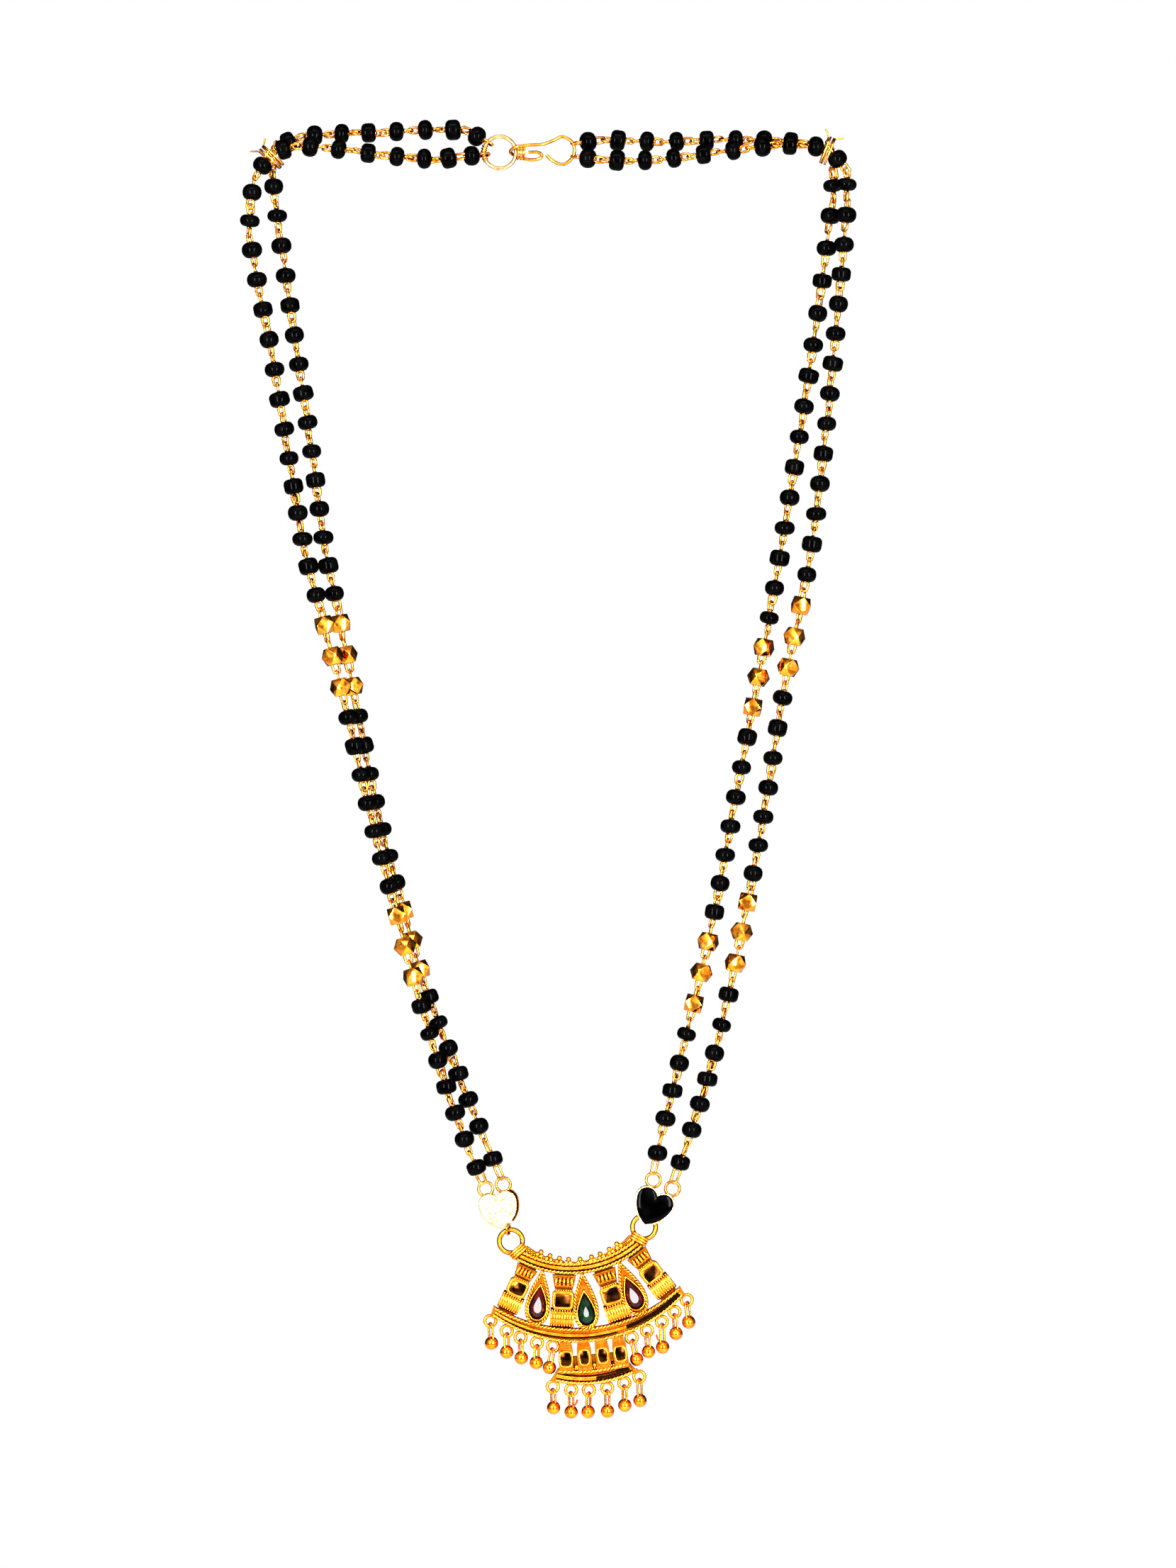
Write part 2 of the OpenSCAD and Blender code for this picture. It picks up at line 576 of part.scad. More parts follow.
// A barrel that lies across the column, cut flat at the plate's back.
module column_barrel(s) {
    root = s * (cap_len + box_len);
    high = s * drum_len;
    wide = s * drum_w;
    lap = 0.05;
    intersection() {
        translate([0, 0, -root - high / 2 + lap]) rotate([0, 90, 0])
            cylinder(h = wide, d = high + 4 * lap, center = true, $fn = ROUND);
        translate([-wide, -high, -root - high - 1]) cube([2 * wide, high + back, high + 2]);
    }
}

module fan_column(c) {
    s = c[3];
    translate([c[0], 0, c[1]]) rotate([0, -c[2], 0]) {
        column_tabs(s, c[4]);
        column_capital(s);
        column_box(s);
        column_barrel(s);
    }
}

// Crown granules: angle along the top band's upper arc.
CROWN = [-33, -25, -17, -9.5, 0, 9.5, 17, 25.5, 33];
module granule() {
    sphere(d = granule_d, $fn = 24);
}
module crown_trio(a) {
    r = TOP_BAND[2][1] + 0.15;
    step = 1.65;
    y = front + 0.2;
    translate([TOP_BAND[0], 0, TOP_BAND[2][0]]) rotate([0, -a, 0]) {
        for (q = [-1, 1]) rotate([0, q * step, 0]) translate([0, y, -r]) granule();
        translate([0, y, -r + 0.75 * granule_d]) granule();
    }
}

// The lower tier's arched cells: x, lean and window width.
CELLS = [[-4.1, -4, 1.7], [-1, -1, 1.3], [2.1, 1.5, 1.3], [5.15, 3, 1.5]];
cell_w = 2.5;
cell_top = -18.6;
cell_foot = -24.2;
cell_rise = 0.35;
cell_facet = [0.7, 2.1];
cell_facet_tilt = 12;
module cell(c) {
    height = cell_top - cell_foot;
    neck = 0.38 * cell_w;
    wide = 0.5 * cell_w;
    shoulder = -0.32 * height;
    translate([c[0], 0, cell_top]) rotate([0, -c[1], 0]) difference() {
        plate(front - cell_rise, back) polygon([[-neck, 0], [neck, 0], [wide, shoulder],
            [wide, -height], [-wide, -height], [-wide, shoulder]]);
        translate([0, front - cell_rise - 0.05, -0.55 * height]) rotate([cell_facet_tilt, 0, 0])
            cube([c[2], cell_facet[0], cell_facet[1]], center = true);
    }
}

// The plate that closes the foot of the lower tier, and the balls on it.
CELL_BALLS = [-2.6, 0.6, 3.8];
module tier_foot() {
    ball_z = -23.2;
    high = -21.4;
    flare = 0.4;
    wide = cell_w / 2 - 0.1;
    a = CELLS[0][0] - wide;
    b = CELLS[len(CELLS) - 1][0] + wide;
    plate(front + 0.1, back - 0.1)
        polygon([[a, high], [b, high], [b + flare, cell_foot], [a - flare, cell_foot]]);
    for (x = CELL_BALLS) translate([x, front, ball_z]) granule();
}

// Edge rings and their drops. Columns: band (0 main, 1 low), angle along its
// lower arc, distance from the ring's centre to the ball's, lean, and turn of
// the drop's loop.
EDGE = [
    [0, -40.9, 3.9, 3, 28], [0, -33.6, 3.7, 0, -26], [0, -27.8, 3.6, 2, 24], [0, -21.2, 3.5, -2, -28],
    [0, -15, 3.8, -9.5, 28], [0, 15.5, 3.9, 13, -24], [0, 21.9, 3.7, 4, 28], [0, 28.5, 4.5, 2, -27],
    [0, 34.6, 3.8, 4, 25], [0, 41.1, 3.9, 5, -28],
    [1, -19.9, 3.7, 2, 27], [1, -11.3, 3.9, 0, 28], [1, -3.1, 3.8, -2, -24], [1, 5.4, 4.1, 1, 28],
    [1, 13.7, 3.9, 1, 25], [1, 21.2, 4.2, 2, -28]];
edge_ring_r = (edge_ring_d - edge_ring_wire) / 2;
edge_bite = 0.2;
function edge_band(e) = e[0] == 0 ? MAIN_BAND : LOW_BAND;
function edge_arm(e) = edge_band(e)[1][1] + edge_ring_d / 2 - edge_bite;
function edge_centre(e) =
    [edge_band(e)[0] + edge_arm(e) * sin(e[1]), edge_band(e)[1][0] - edge_arm(e) * cos(e[1])];

module edge_ring(e) {
    c = edge_centre(e);
    peg_d = 1.1 * edge_ring_wire;
    peg_in = 0.5;
    translate([c[0], 0, c[1]]) {
        rotate([90, 0, 0]) ring(edge_ring_r, edge_ring_wire);
        rotate([0, -e[1], 0]) translate([0, 0, edge_ring_r])
            cylinder(h = edge_ring_wire / 2 - edge_bite + peg_in, d = peg_d, $fn = 24);
    }
}

// A rolled collar runs from the corner of the top band to just under each end
// ring, and joins the two.
collar_d = 1.05;
collar_root = [9.5, -1];
collar_end = [end_span / 2 + 0.17, end_ring_z - end_ring_r - 0.6];
module end_ring(side) {
    run = collar_end - collar_root;
    translate([side * end_span / 2, 0, end_ring_z]) rotate([90, 0, 0]) ring(end_ring_r, end_ring_wire);
    translate([side * collar_root[0], 0, collar_root[1]]) rotate([0, side * atan2(run[0], run[1]), 0])
        cylinder(h = norm(run), d = collar_d, $fn = ROUND);
}

module fan_bands() {
    for (b = [TOP_BAND, MAIN_BAND, LOW_BAND]) plate(front, back) band(b[0], b[1], b[2], b[3], b[4]);
    for (r = RAILS) rail(r[0], r[1], r[2], r[3], r[4], front);
}

module pendant_frame() {
    color(GOLD) in_fan() difference() {
        union() {
            fan_bands();
            for (c = COLUMNS) fan_column(c);
            for (c = CELLS) cell(c);
            tier_foot();
            for (a = CROWN) crown_trio(a);
            for (e = EDGE) edge_ring(e);
            for (side = [-1, 1]) end_ring(side);
            for (s = SETTINGS) setting_body(s);
        }
        for (s = SETTINGS) setting_bed(s);
    }
}

// A drop: a ball below a long wire loop that hangs in its edge ring.
module drop(k) {
    e = EDGE[k];
    c = edge_centre(e);
    w = (drop_loop_in + drop_wire) / 2;
    ring_low = -edge_ring_r + edge_ring_wire / 2;
    loop_top = ring_low + drop_play + drop_wire / 2;
    upper = loop_top - w;
    lower = -e[2] + ball_d / 2;
    color(GOLD) translate(fan(c[0], c[1])) rotate([0, -e[3], 0]) {
        translate([0, 0, -e[2]]) sphere(d = ball_d, $fn = ROUND);
        rotate([0, 0, e[4]]) rotate([90, 0, 90]) {
            translate([0, upper]) rotate_extrude(angle = 180, $fn = ROUND)
                translate([w, 0]) circle(d = drop_wire, $fn = 24);
            for (q = [-1, 1]) translate([q * w, upper, 0]) rotate([90, 0, 0])
                cylinder(h = upper - lower + 0.35, d = drop_wire, $fn = 24);
        }
    }
}

tie_left_at = curve(LEFT_OUTER, 8) + [0.05, 1.7, -0.54];
tie_right_at = curve(RIGHT_OUTER, 9) + [-0.2, 1.6, -0.06];

glass_beads(LEFT_OUTER, RUNS_LEFT_OUTER);  // glass_beads_left_outer
glass_beads(LEFT_INNER, RUNS_LEFT_INNER);  // glass_beads_left_inner
glass_beads(RIGHT_OUTER, RUNS_RIGHT_OUTER);  // glass_beads_right_outer
glass_beads(RIGHT_INNER, RUNS_RIGHT_INNER);  // glass_beads_right_inner
gold_beads(LEFT_OUTER, RUNS_LEFT_OUTER);  // gold_beads_left_outer
gold_beads(LEFT_INNER, RUNS_LEFT_INNER);  // gold_beads_left_inner
gold_beads(RIGHT_OUTER, RUNS_RIGHT_OUTER);  // gold_beads_right_outer
gold_beads(RIGHT_INNER, RUNS_RIGHT_INNER);  // gold_beads_right_inner
chain(LEFT_OUTER, ring_wire, heart_eye_wire);  // chain_left_outer
chain(LEFT_INNER, ring_wire, heart_eye_wire);  // chain_left_inner
chain(RIGHT_OUTER, hook_wire, heart_eye_wire);  // chain_right_outer
chain(RIGHT_INNER, hook_wire, heart_eye_wire);  // chain_right_inner
clasp_ring();
clasp_hook();
corner_tie(tie_left_at, 48, 3);  // corner_tie_left
corner_tie(tie_right_at, -22, 3);  // corner_tie_right
heart_setting(0);  // heart_setting_left
heart_setting(1);  // heart_setting_right
heart_enamel(0);  // heart_enamel_left
heart_enamel(1);  // heart_enamel_right
pendant_frame();
stone(0, GREEN);  // stone_green
stone(1, RED);  // stone_red_left
stone(2, RED);  // stone_red_right
for (k = [0:len(EDGE) - 1]) drop(k);
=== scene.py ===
# %% [markdown]
# # A bead necklace with a gold fan pendant
# The frame that is loaded here holds every piece of a mangalsutra at its real size and
# place: two strands of black glass and gold beads, a clasp, two heart connectors and a
# pendant with three stones and sixteen ball drops. This lesson gives each piece its
# finish, and models anew the pieces whose shape is finer than the frame's: the beads and
# wire links, the hook and ties, the hearts, the stones, and the pendant's ropes and grains.
# All lengths are written in millimetres and turned into metres by MM.

# %% Load the frame and measure it
import math

import bpy
from mathutils import Matrix, Vector


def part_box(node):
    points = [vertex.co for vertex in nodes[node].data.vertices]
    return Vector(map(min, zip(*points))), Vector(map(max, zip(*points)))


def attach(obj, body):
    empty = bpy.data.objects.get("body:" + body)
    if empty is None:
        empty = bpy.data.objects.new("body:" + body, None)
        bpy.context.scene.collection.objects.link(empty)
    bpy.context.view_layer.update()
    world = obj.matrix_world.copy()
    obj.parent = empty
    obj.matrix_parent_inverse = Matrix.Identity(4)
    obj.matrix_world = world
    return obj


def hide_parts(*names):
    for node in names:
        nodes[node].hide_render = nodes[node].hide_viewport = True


MM = 0.001
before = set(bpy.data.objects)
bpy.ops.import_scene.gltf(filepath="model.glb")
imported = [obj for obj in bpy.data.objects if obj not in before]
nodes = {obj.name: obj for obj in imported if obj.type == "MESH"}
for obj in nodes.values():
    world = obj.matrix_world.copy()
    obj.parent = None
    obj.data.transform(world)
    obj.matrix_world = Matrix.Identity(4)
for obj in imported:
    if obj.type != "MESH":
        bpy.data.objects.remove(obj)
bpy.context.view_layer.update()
print("nodes loaded:", len(nodes))

# %% [markdown]
# ## The camera
# The photograph looks straight at the necklace from the front. Eight of its pixels are
# one millimetre, and the middle of the nape is at pixel 780, 212, so the frame's middle
# and size follow from those. A long lens keeps the two strands parallel.

# %% Place the camera
PHOTO_SIZE = (1659, 2212)
NAPE_PIXEL = (780, 212)
PIXELS_PER_MM = 8
LENS = 100
SENSOR = 36

view_w = PHOTO_SIZE[0] / PIXELS_PER_MM
view_h = PHOTO_SIZE[1] / PIXELS_PER_MM
view_x = view_w / 2 - NAPE_PIXEL[0] / PIXELS_PER_MM
view_z = NAPE_PIXEL[1] / PIXELS_PER_MM - view_h / 2
camera_y = -view_h * LENS / SENSOR

bpy.ops.object.select_all(action="DESELECT")
bpy.ops.object.camera_add(
    location=(view_x * MM, camera_y * MM, view_z * MM), rotation=(math.pi / 2, 0, 0))
camera = bpy.context.object
camera.data.lens = LENS
camera.data.sensor_width = SENSOR
camera.data.clip_start = 0.01
bpy.context.scene.camera = camera
bpy.context.scene.view_settings.view_transform = "Standard"
print("camera looks at x %.1f, z %.1f from %.0f mm" % (view_x, view_z, -camera_y))

# %% [markdown]
# ## The light
# Polished gold shows its surroundings. Jewellery is lit by two tall soft boxes beside the
# lens, with a dark gap between them: that gap draws the dark line in each ball and the two
# upright lights in each glass bead. The room is bright at the sides, and dark behind the
# necklace, so every edge ends in a dark line. Furniture breaks its walls into light and
# dark patches, which polished metal needs. The camera itself sees a white paper.


# %% Node helpers
def add(tree, kind, links=None, **settings):
    """Adds a node with its settings, and links or sets the inputs that links names."""
    node = tree.nodes.new(kind)
    for key, value in settings.items():
        setattr(node, key, value)
    for name, value in (links or {}).items():
        if isinstance(value, bpy.types.NodeSocket):
            tree.links.new(value, node.inputs[name])
        else:
            node.inputs[name].default_value = value
    return node


def set_ramp(ramp, rows):
    """Gives a colour ramp its rows of place and colour."""
    elements = ramp.color_ramp.elements
    while len(elements) < len(rows):
        elements.new(0.5)
    for element, (place, colour) in zip(elements, rows):
        element.position = place
        element.color = colour
    return ramp


# %% Light the room
WHITE_PAPER = 1.0
# Rows of the room: share of the way from the camera's side to the back, and brightness.
ROOM = [
    (0.0, 1.1), (0.03, 1.9), (0.07, 0.55), (0.13, 2.5), (0.24, 1.5), (0.36, 0.8), (0.46, 0.3),
    (0.62, 0.1), (1.0, 0.02)]

world = bpy.data.worlds.new("studio")
bpy.context.scene.world = world
world.use_nodes = True
tree = world.node_tree
tree.nodes.clear()
direction = add(tree, "ShaderNodeTexCoord").outputs["Generated"]
axes = add(tree, "ShaderNodeSeparateXYZ", {"Vector": direction})
depth = add(tree, "ShaderNodeMath", {0: axes.outputs["Y"], 1: 0.5}, operation="MULTIPLY")
share = add(tree, "ShaderNodeMath", {0: depth.outputs[0], 1: 0.5}, operation="ADD")
room = add(tree, "ShaderNodeValToRGB", {"Fac": share.outputs[0]})
set_ramp(room, [(place, (grey, grey, grey, 1)) for place, grey in ROOM])
things = add(tree, "ShaderNodeTexNoise", {"Vector": direction, "Scale": 2.6, "Detail": 2.0})
patches = add(tree, "ShaderNodeMapRange", {
    "Value": things.outputs["Fac"], "From Min": 0.42, "From Max": 0.58,
    "To Min": 0.3, "To Max": 1.7})
room_light = add(tree, "ShaderNodeBackground", {
    "Color": room.outputs["Color"], "Strength": patches.outputs["Result"]})
paper = add(tree, "ShaderNodeBackground", {"Color": (1, 1, 1, 1), "Strength": WHITE_PAPER})
seen = add(tree, "ShaderNodeLightPath").outputs["Is Camera Ray"]
both = add(tree, "ShaderNodeMixShader", {0: seen, 1: room_light.outputs[0], 2: paper.outputs[0]})
add(tree, "ShaderNodeOutputWorld", {"Surface": both.outputs[0]})
print("rows of the room:", len(ROOM))

# %% Hang the soft boxes
middle = Vector((view_x * MM, 0, view_z * MM))
# Soft boxes: name, place about the necklace's middle, width, height and power.
BOXES = [
    ("box_left", (-280, -560, 30), 120, 420, 12),
    ("box_right", (280, -560, 30), 120, 420, 12),
    ("box_top", (0, -300, 500), 420, 160, 1.6)]
for name, place, wide, high, power in BOXES:
    bpy.ops.object.light_add(type="AREA", location=middle + Vector(place) * MM)
    box = bpy.context.object
    box.name = name
    box.data.shape = "RECTANGLE"
    box.data.size = wide * MM
    box.data.size_y = high * MM
    box.data.energy = power
    box.rotation_euler = (middle - box.location).to_track_quat("-Z", "Y").to_euler()
print("lights:", len(BOXES))

# %% [markdown]
# ## The floor
# The necklace hangs as if worn, so nothing rests on the floor. It lies below the view and
# only tints the undersides.

# %% Lay the floor
FLOOR_Z = -450
bpy.ops.object.select_all(action="DESELECT")
bpy.ops.mesh.primitive_plane_add(size=2.4, location=(0, -0.35, FLOOR_Z * MM))
floor = bpy.context.object
floor.name = "floor"
print("floor at z %d mm" % FLOOR_Z)

# %% [markdown]
# ## Finishes
# Colours are picked as a painter names them, in sRGB, and one function turns them linear.
# The pattern sizes are real sizes: a noise of scale 1 / size has features of that size.


# %% Colour and pattern helpers
def linear(hex_colour):
    """Turns an sRGB hex colour into the linear values that a shader takes."""
    values = [int(hex_colour[i:i + 2], 16) / 255 for i in (1, 3, 5)]
    return (*[v / 12.92 if v <= 0.04045 else ((v + 0.055) / 1.055) ** 2.4 for v in values], 1)


def finish(name):
    """Starts a material: returns it with its tree, its shader and its place on the piece."""
    material = bpy.data.materials.new(name)
    material.use_nodes = True
    tree = material.node_tree
    tree.nodes.clear()
    shader = add(tree, "ShaderNodeBsdfPrincipled")
    add(tree, "ShaderNodeOutputMaterial", {"Surface": shader.outputs[0]})
    place = add(tree, "ShaderNodeTexCoord").outputs["Object"]
    print("finish:", name)
    return material, tree, shader, place


# %% [markdown]
# ### Floor paper
# Matt paper, a little warm, with a faint mottle.

# %% Paper
paper_floor, tree, shader, place = finish("matt_paper")
mottle = add(tree, "ShaderNodeTexNoise", {"Vector": place, "Scale": 6.0, "Detail": 2.0})
tone = set_ramp(
    add(tree, "ShaderNodeValToRGB", {"Fac": mottle.outputs["Fac"]}),
    [(0.3, linear("#E6E4DF")), (0.7, linear("#F2F1EE"))])
tree.links.new(tone.outputs["Color"], shader.inputs["Base Color"])
shader.inputs["Roughness"].default_value = 0.9
floor.data.materials.append(paper_floor)

# %% [markdown]
# ### Gold
# The metal is a high carat yellow gold. Cast and soldered pieces keep a faintly rippled
# skin, drawn wire is smoother, and facets cut with a polished tool are mirrors. Painted
# shade and grime darken the hollows, which gives the eye the dark lines between ropes and
# grains, so the colour darkens where the surface looks into itself. Edges get a painted
# highlight, which also stands for wear.


# %% Gold finishes
# Colour of the painted shade and grime in hollows; reach of the painted highlight and wear on edges.
SHADE_AND_GRIME = "#2E1200"
CLOUD_SIZE = 1.1
WEAR_AND_HIGHLIGHT_REACH = 0.16


def gold(name, bright, deep, worn_and_lit, rough, ripple, ripple_size, shade_and_grime_reach, shade_and_grime_share=1.0):
    """A gold of two tones, a painted highlight and wear on its edges, its ripple's height and size,
    and the reach of its painted shade and grime in mm.
    """
    material, tree, shader, place = finish(name)
    cloud = add(tree, "ShaderNodeTexNoise", {
        "Vector": place, "Scale": 1 / (CLOUD_SIZE * MM), "Detail": 3.0})
    tone = set_ramp(
        add(tree, "ShaderNodeValToRGB", {"Fac": cloud.outputs["Fac"]}),
        [(0.38, linear(deep)), (0.6, linear(bright))])
    # Painted shade and grime darken the hollows, and a painted highlight with wear brightens the
    # edges.
    hollow = add(tree, "ShaderNodeAmbientOcclusion", {"Distance": shade_and_grime_reach * MM}, samples=8)
    shade_and_grime = add(tree, "ShaderNodeMapRange", {
        "Value": hollow.outputs["AO"], "From Min": 0.86, "From Max": 0.42,
        "To Min": 0.0, "To Max": shade_and_grime_share})
    edge = add(
        tree, "ShaderNodeAmbientOcclusion", {"Distance": WEAR_AND_HIGHLIGHT_REACH * MM}, samples=6, inside=True)
    rubbed_and_lit = add(tree, "ShaderNodeMapRange", {
        "Value": edge.outputs["AO"], "From Min": 0.75, "From Max": 0.45, "To Min": 0.0, "To Max": 0.8})
    edged = add(tree, "ShaderNodeMix", {"Factor": rubbed_and_lit.outputs["Result"]}, data_type="RGBA")
    tree.links.new(tone.outputs["Color"], edged.inputs["A"])
    edged.inputs["B"].default_value = linear(worn_and_lit)
    colour = add(tree, "ShaderNodeMix", {"Factor": shade_and_grime.outputs["Result"]}, data_type="RGBA")
    tree.links.new(edged.outputs["Result"], colour.inputs["A"])
    colour.inputs["B"].default_value = linear(SHADE_AND_GRIME)
    tree.links.new(colour.outputs["Result"], shader.inputs["Base Color"])
    shader.inputs["Metallic"].default_value = 1.0
    skin = add(tree, "ShaderNodeTexNoise", {
        "Vector": place, "Scale": 1 / (ripple_size * MM), "Detail": 2.0})
    polish = add(tree, "ShaderNodeMapRange", {
        "Value": skin.outputs["Fac"], "To Min": 0.6 * rough, "To Max": 1.4 * rough})
    tree.links.new(polish.outputs["Result"], shader.inputs["Roughness"])
    bump = add(tree, "ShaderNodeBump", {
        "Height": skin.outputs["Fac"], "Strength": 1.0, "Distance": ripple * MM})
    tree.links.new(bump.outputs["Normal"], shader.inputs["Normal"])
    return material


cast_gold = gold("cast_gold", "#FF8E22", "#EE6E08", "#FFA62E", 0.2, 0.045, 0.35, 0.9)
rope_gold = gold("twisted_gold_wire", "#FF982A", "#F68214", "#FFB040", 0.18, 0.004, 0.4, 0.35)
wire_gold = gold("drawn_gold_wire", "#E88A2C", "#A85A14", "#FFB044", 0.16, 0.01, 0.4, 0.6)
ring_gold = gold("worn_clasp_wire", "#F0B474", "#C88444", "#FFD8A0", 0.2, 0.01, 0.5, 0.5)
ball_gold = gold("polished_gold", "#FF8C20", "#EA700A", "#FFA030", 0.12, 0.01, 0.7, 0.5)
facet_gold = gold("facet_cut_gold", "#F89A30", "#E27A16", "#FFC24A", 0.1, 0.002, 0.5, 0.35, 0.6)
# Mirror facets painted dark brown: a painted dark reflection.
dark_reflection_gold = gold(
    "mirror_cut_painted_reflection", "#2C1404", "#120702", "#7A3E0E", 0.14, 0.01, 0.7, 0.2, 0.5)
# Near black wire laid in grooves and gaps: painted shade.
shade_groove_gold = gold("painted_shade_groove", "#120802", "#080402", "#241004", 0.5, 0.01, 0.5, 0.2, 0.5)

# %% [markdown]
# ### Painted glare on plating
# The left heart hangs with its plain back to the viewer. Its colour is painted nearly white,
# a painted reflection of the light it throws back, with small yellow specks where the
# plating is rough. The hearts' rims are painted with it as a painted highlight.

# %% Painted glare plating
SPECK_SIZE = 0.42
painted_glare_plate, tree, shader, place = finish("painted_glare_plate")
specks = add(tree, "ShaderNodeTexNoise", {
    "Vector": place, "Scale": 1 / (SPECK_SIZE * MM), "Detail": 2.0})
tone = set_ramp(
    add(tree, "ShaderNodeValToRGB", {"Fac": specks.outputs["Fac"]}),
    [(0.48, linear("#FFFAF0")), (0.54, linear("#FFE9B4")), (0.58, linear("#E8A030"))])
tree.links.new(tone.outputs["Color"], shader.inputs["Base Color"])
shader.inputs["Metallic"].default_value = 1.0
shader.inputs["Roughness"].default_value = 0.42
bump = add(tree, "ShaderNodeBump", {
    "Height": specks.outputs["Fac"], "Strength": 0.6, "Distance": 0.02 * MM})
tree.links.new(bump.outputs["Normal"], shader.inputs["Normal"])

# %% [markdown]
# ### Black glass
# The beads are wound black glass, fire polished. Under two boxes it shows only two small
# lights, so it is near black, glossy, and waves a little as wound glass does.

# %% Black glass
WAVE_SIZE = 1.4
black_glass, tree, shader, place = finish("black_glass")
wave = add(tree, "ShaderNodeTexNoise", {
    "Vector": place, "Scale": 1 / (WAVE_SIZE * MM), "Detail": 1.0})
tone = set_ramp(
    add(tree, "ShaderNodeValToRGB", {"Fac": wave.outputs["Fac"]}),
    [(0.35, linear("#000000")), (0.7, linear("#020202"))])
tree.links.new(tone.outputs["Color"], shader.inputs["Base Color"])
smear = add(tree, "ShaderNodeMapRange", {
    "Value": wave.outputs["Fac"], "To Min": 0.02, "To Max": 0.05})
tree.links.new(smear.outputs["Result"], shader.inputs["Roughness"])
shader.inputs["IOR"].default_value = 1.5
shader.inputs["Specular IOR Level"].default_value = 0.013
bump = add(tree, "ShaderNodeBump", {
    "Height": wave.outputs["Fac"], "Strength": 0.4, "Distance": 0.02 * MM})
tree.links.new(bump.outputs["Normal"], shader.inputs["Normal"])

# %% [markdown]
# ### Enamel and stones
# The hearts are filled with black enamel, poured and polished to a low dome. The stones
# are dark garnet red and dark green glass, cut as pears with a polished table.


# %% Enamel and stones
GLOW_SIZE = 2.2


def stone_finish(name, deep, glow, rough, ior, gloss):
    """A dark polished solid whose colour glows a little where the cloud is bright."""
    material, tree, shader, place = finish(name)
    cloud = add(tree, "ShaderNodeTexNoise", {
        "Vector": place, "Scale": 1 / (GLOW_SIZE * MM), "Detail": 2.0})
    tone = set_ramp(
        add(tree, "ShaderNodeValToRGB", {"Fac": cloud.outputs["Fac"]}),
        [(0.45, linear(deep)), (0.75, linear(glow))])
    tree.links.new(tone.outputs["Color"], shader.inputs["Base Color"])
    shader.inputs["Roughness"].default_value = rough
    shader.inputs["IOR"].default_value = ior
    shader.inputs["Specular IOR Level"].default_value = gloss
    return material


black_enamel = stone_finish("black_enamel", "#000000", "#020202", 0.03, 1.5, 0.016)
garnet_glass = stone_finish("garnet_glass", "#180203", "#420609", 0.04, 1.6, 0.1)
green_glass = stone_finish("green_glass", "#010703", "#03240B", 0.04, 1.6, 0.1)

# %% [markdown]
# ## Working by hand
# A few moves come back in every piece. Before anything is added, nothing may be selected,
# because an operator acts on all that is. Vertices and faces are picked by a rule about
# their place, and then moved, inset or bevelled in edit mode. A copied piece goes to its
# place by a matrix, which is put together from moves in millimetres and turns in degrees.


# %% Bench helpers
def shift(x, y, z):
    """A move in millimetres."""
    return Matrix.Translation(Vector((x, y, z)) * MM)


def turning(angle, axis):
    """A turn in degrees about an axis through the origin."""
    return Matrix.Rotation(math.radians(angle), 4, axis)


def spot(place, x, y, z):
    """A point in metres, from millimetres within a place."""
    return place @ (Vector((x, y, z)) * MM)


def clear_bench():
    """Selects nothing."""
    bpy.ops.object.select_all(action="DESELECT")


def take(*objs):
    """Selects these objects and no others, with the first one active."""
    clear_bench()
    for obj in objs:
        obj.select_set(True)
    bpy.context.view_layer.objects.active = objs[0]
    return objs[0]


def pick(obj, kind, rule):
    """Goes to edit mode with the vertices or faces selected that pass the rule."""
    take(obj)
    bpy.ops.object.mode_set(mode="EDIT")
    bpy.ops.mesh.select_mode(type=kind)
    bpy.ops.mesh.select_all(action="DESELECT")
    bpy.ops.object.mode_set(mode="OBJECT")
    if kind == "VERT":
        for vertex in obj.data.vertices:
            vertex.select = rule(vertex.co)
    else:
        for face in obj.data.polygons:
            face.select = rule(face.center, face.normal)
    bpy.ops.object.mode_set(mode="EDIT")


def leave():
    """Goes back from edit mode."""
    bpy.ops.object.mode_set(mode="OBJECT")


def settle(obj, name):
    """Puts the object's place into its mesh and names it."""
    take(obj)
    bpy.ops.object.transform_apply(location=True, rotation=True, scale=True)
    obj.name = name
    obj.data.name = name
    return obj


def fuse(objs, name):
    """Joins separate pieces into one object."""
    take(*objs)
    if len(objs) > 1:
        bpy.ops.object.join()
    return settle(bpy.context.view_layer.objects.active, name)


def smooth(obj, angle=None):
    """Shades a piece smooth, or smooth only below an angle in degrees."""
    take(obj)
    if angle is None:
        bpy.ops.object.shade_smooth()
    else:
        bpy.ops.object.shade_smooth_by_angle(angle=math.radians(angle))
    return obj


def copy_of(master):
    """A copy of a master with its own mesh."""
    copy = master.copy()
    copy.data = master.data.copy()
    bpy.context.scene.collection.objects.link(copy)
    return copy


def copies(master, places, name):
    """Copies a master to each place and joins the copies."""
    made = [copy_of(master) for place in places]
    for copy, place in zip(made, places):
        copy.data.transform(place)
    return fuse(made, name)


def shelve(obj):
    """Removes a master that has been copied."""
    bpy.data.objects.remove(obj, do_unlink=True)


def paint(obj, material):
    """Gives a piece its one finish."""
    obj.data.materials.clear()
    obj.data.materials.append(material)
    return obj


def declare(obj, body, slot, *replaced):
    """Says what a finished piece rides on and hides the nodes that it stands for; the slot is not
    used.
    """
    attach(obj, body)
    if replaced:
        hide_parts(*replaced)
    return obj


# %% [markdown]
# ## The route of the strands
# A strand isn't a free cord: each bead is on its own stiff wire, and the wires hang in
# each other's eyes. The joints between them follow the same few points as the frame's,
# counted from the clasp, with a smooth curve through them.

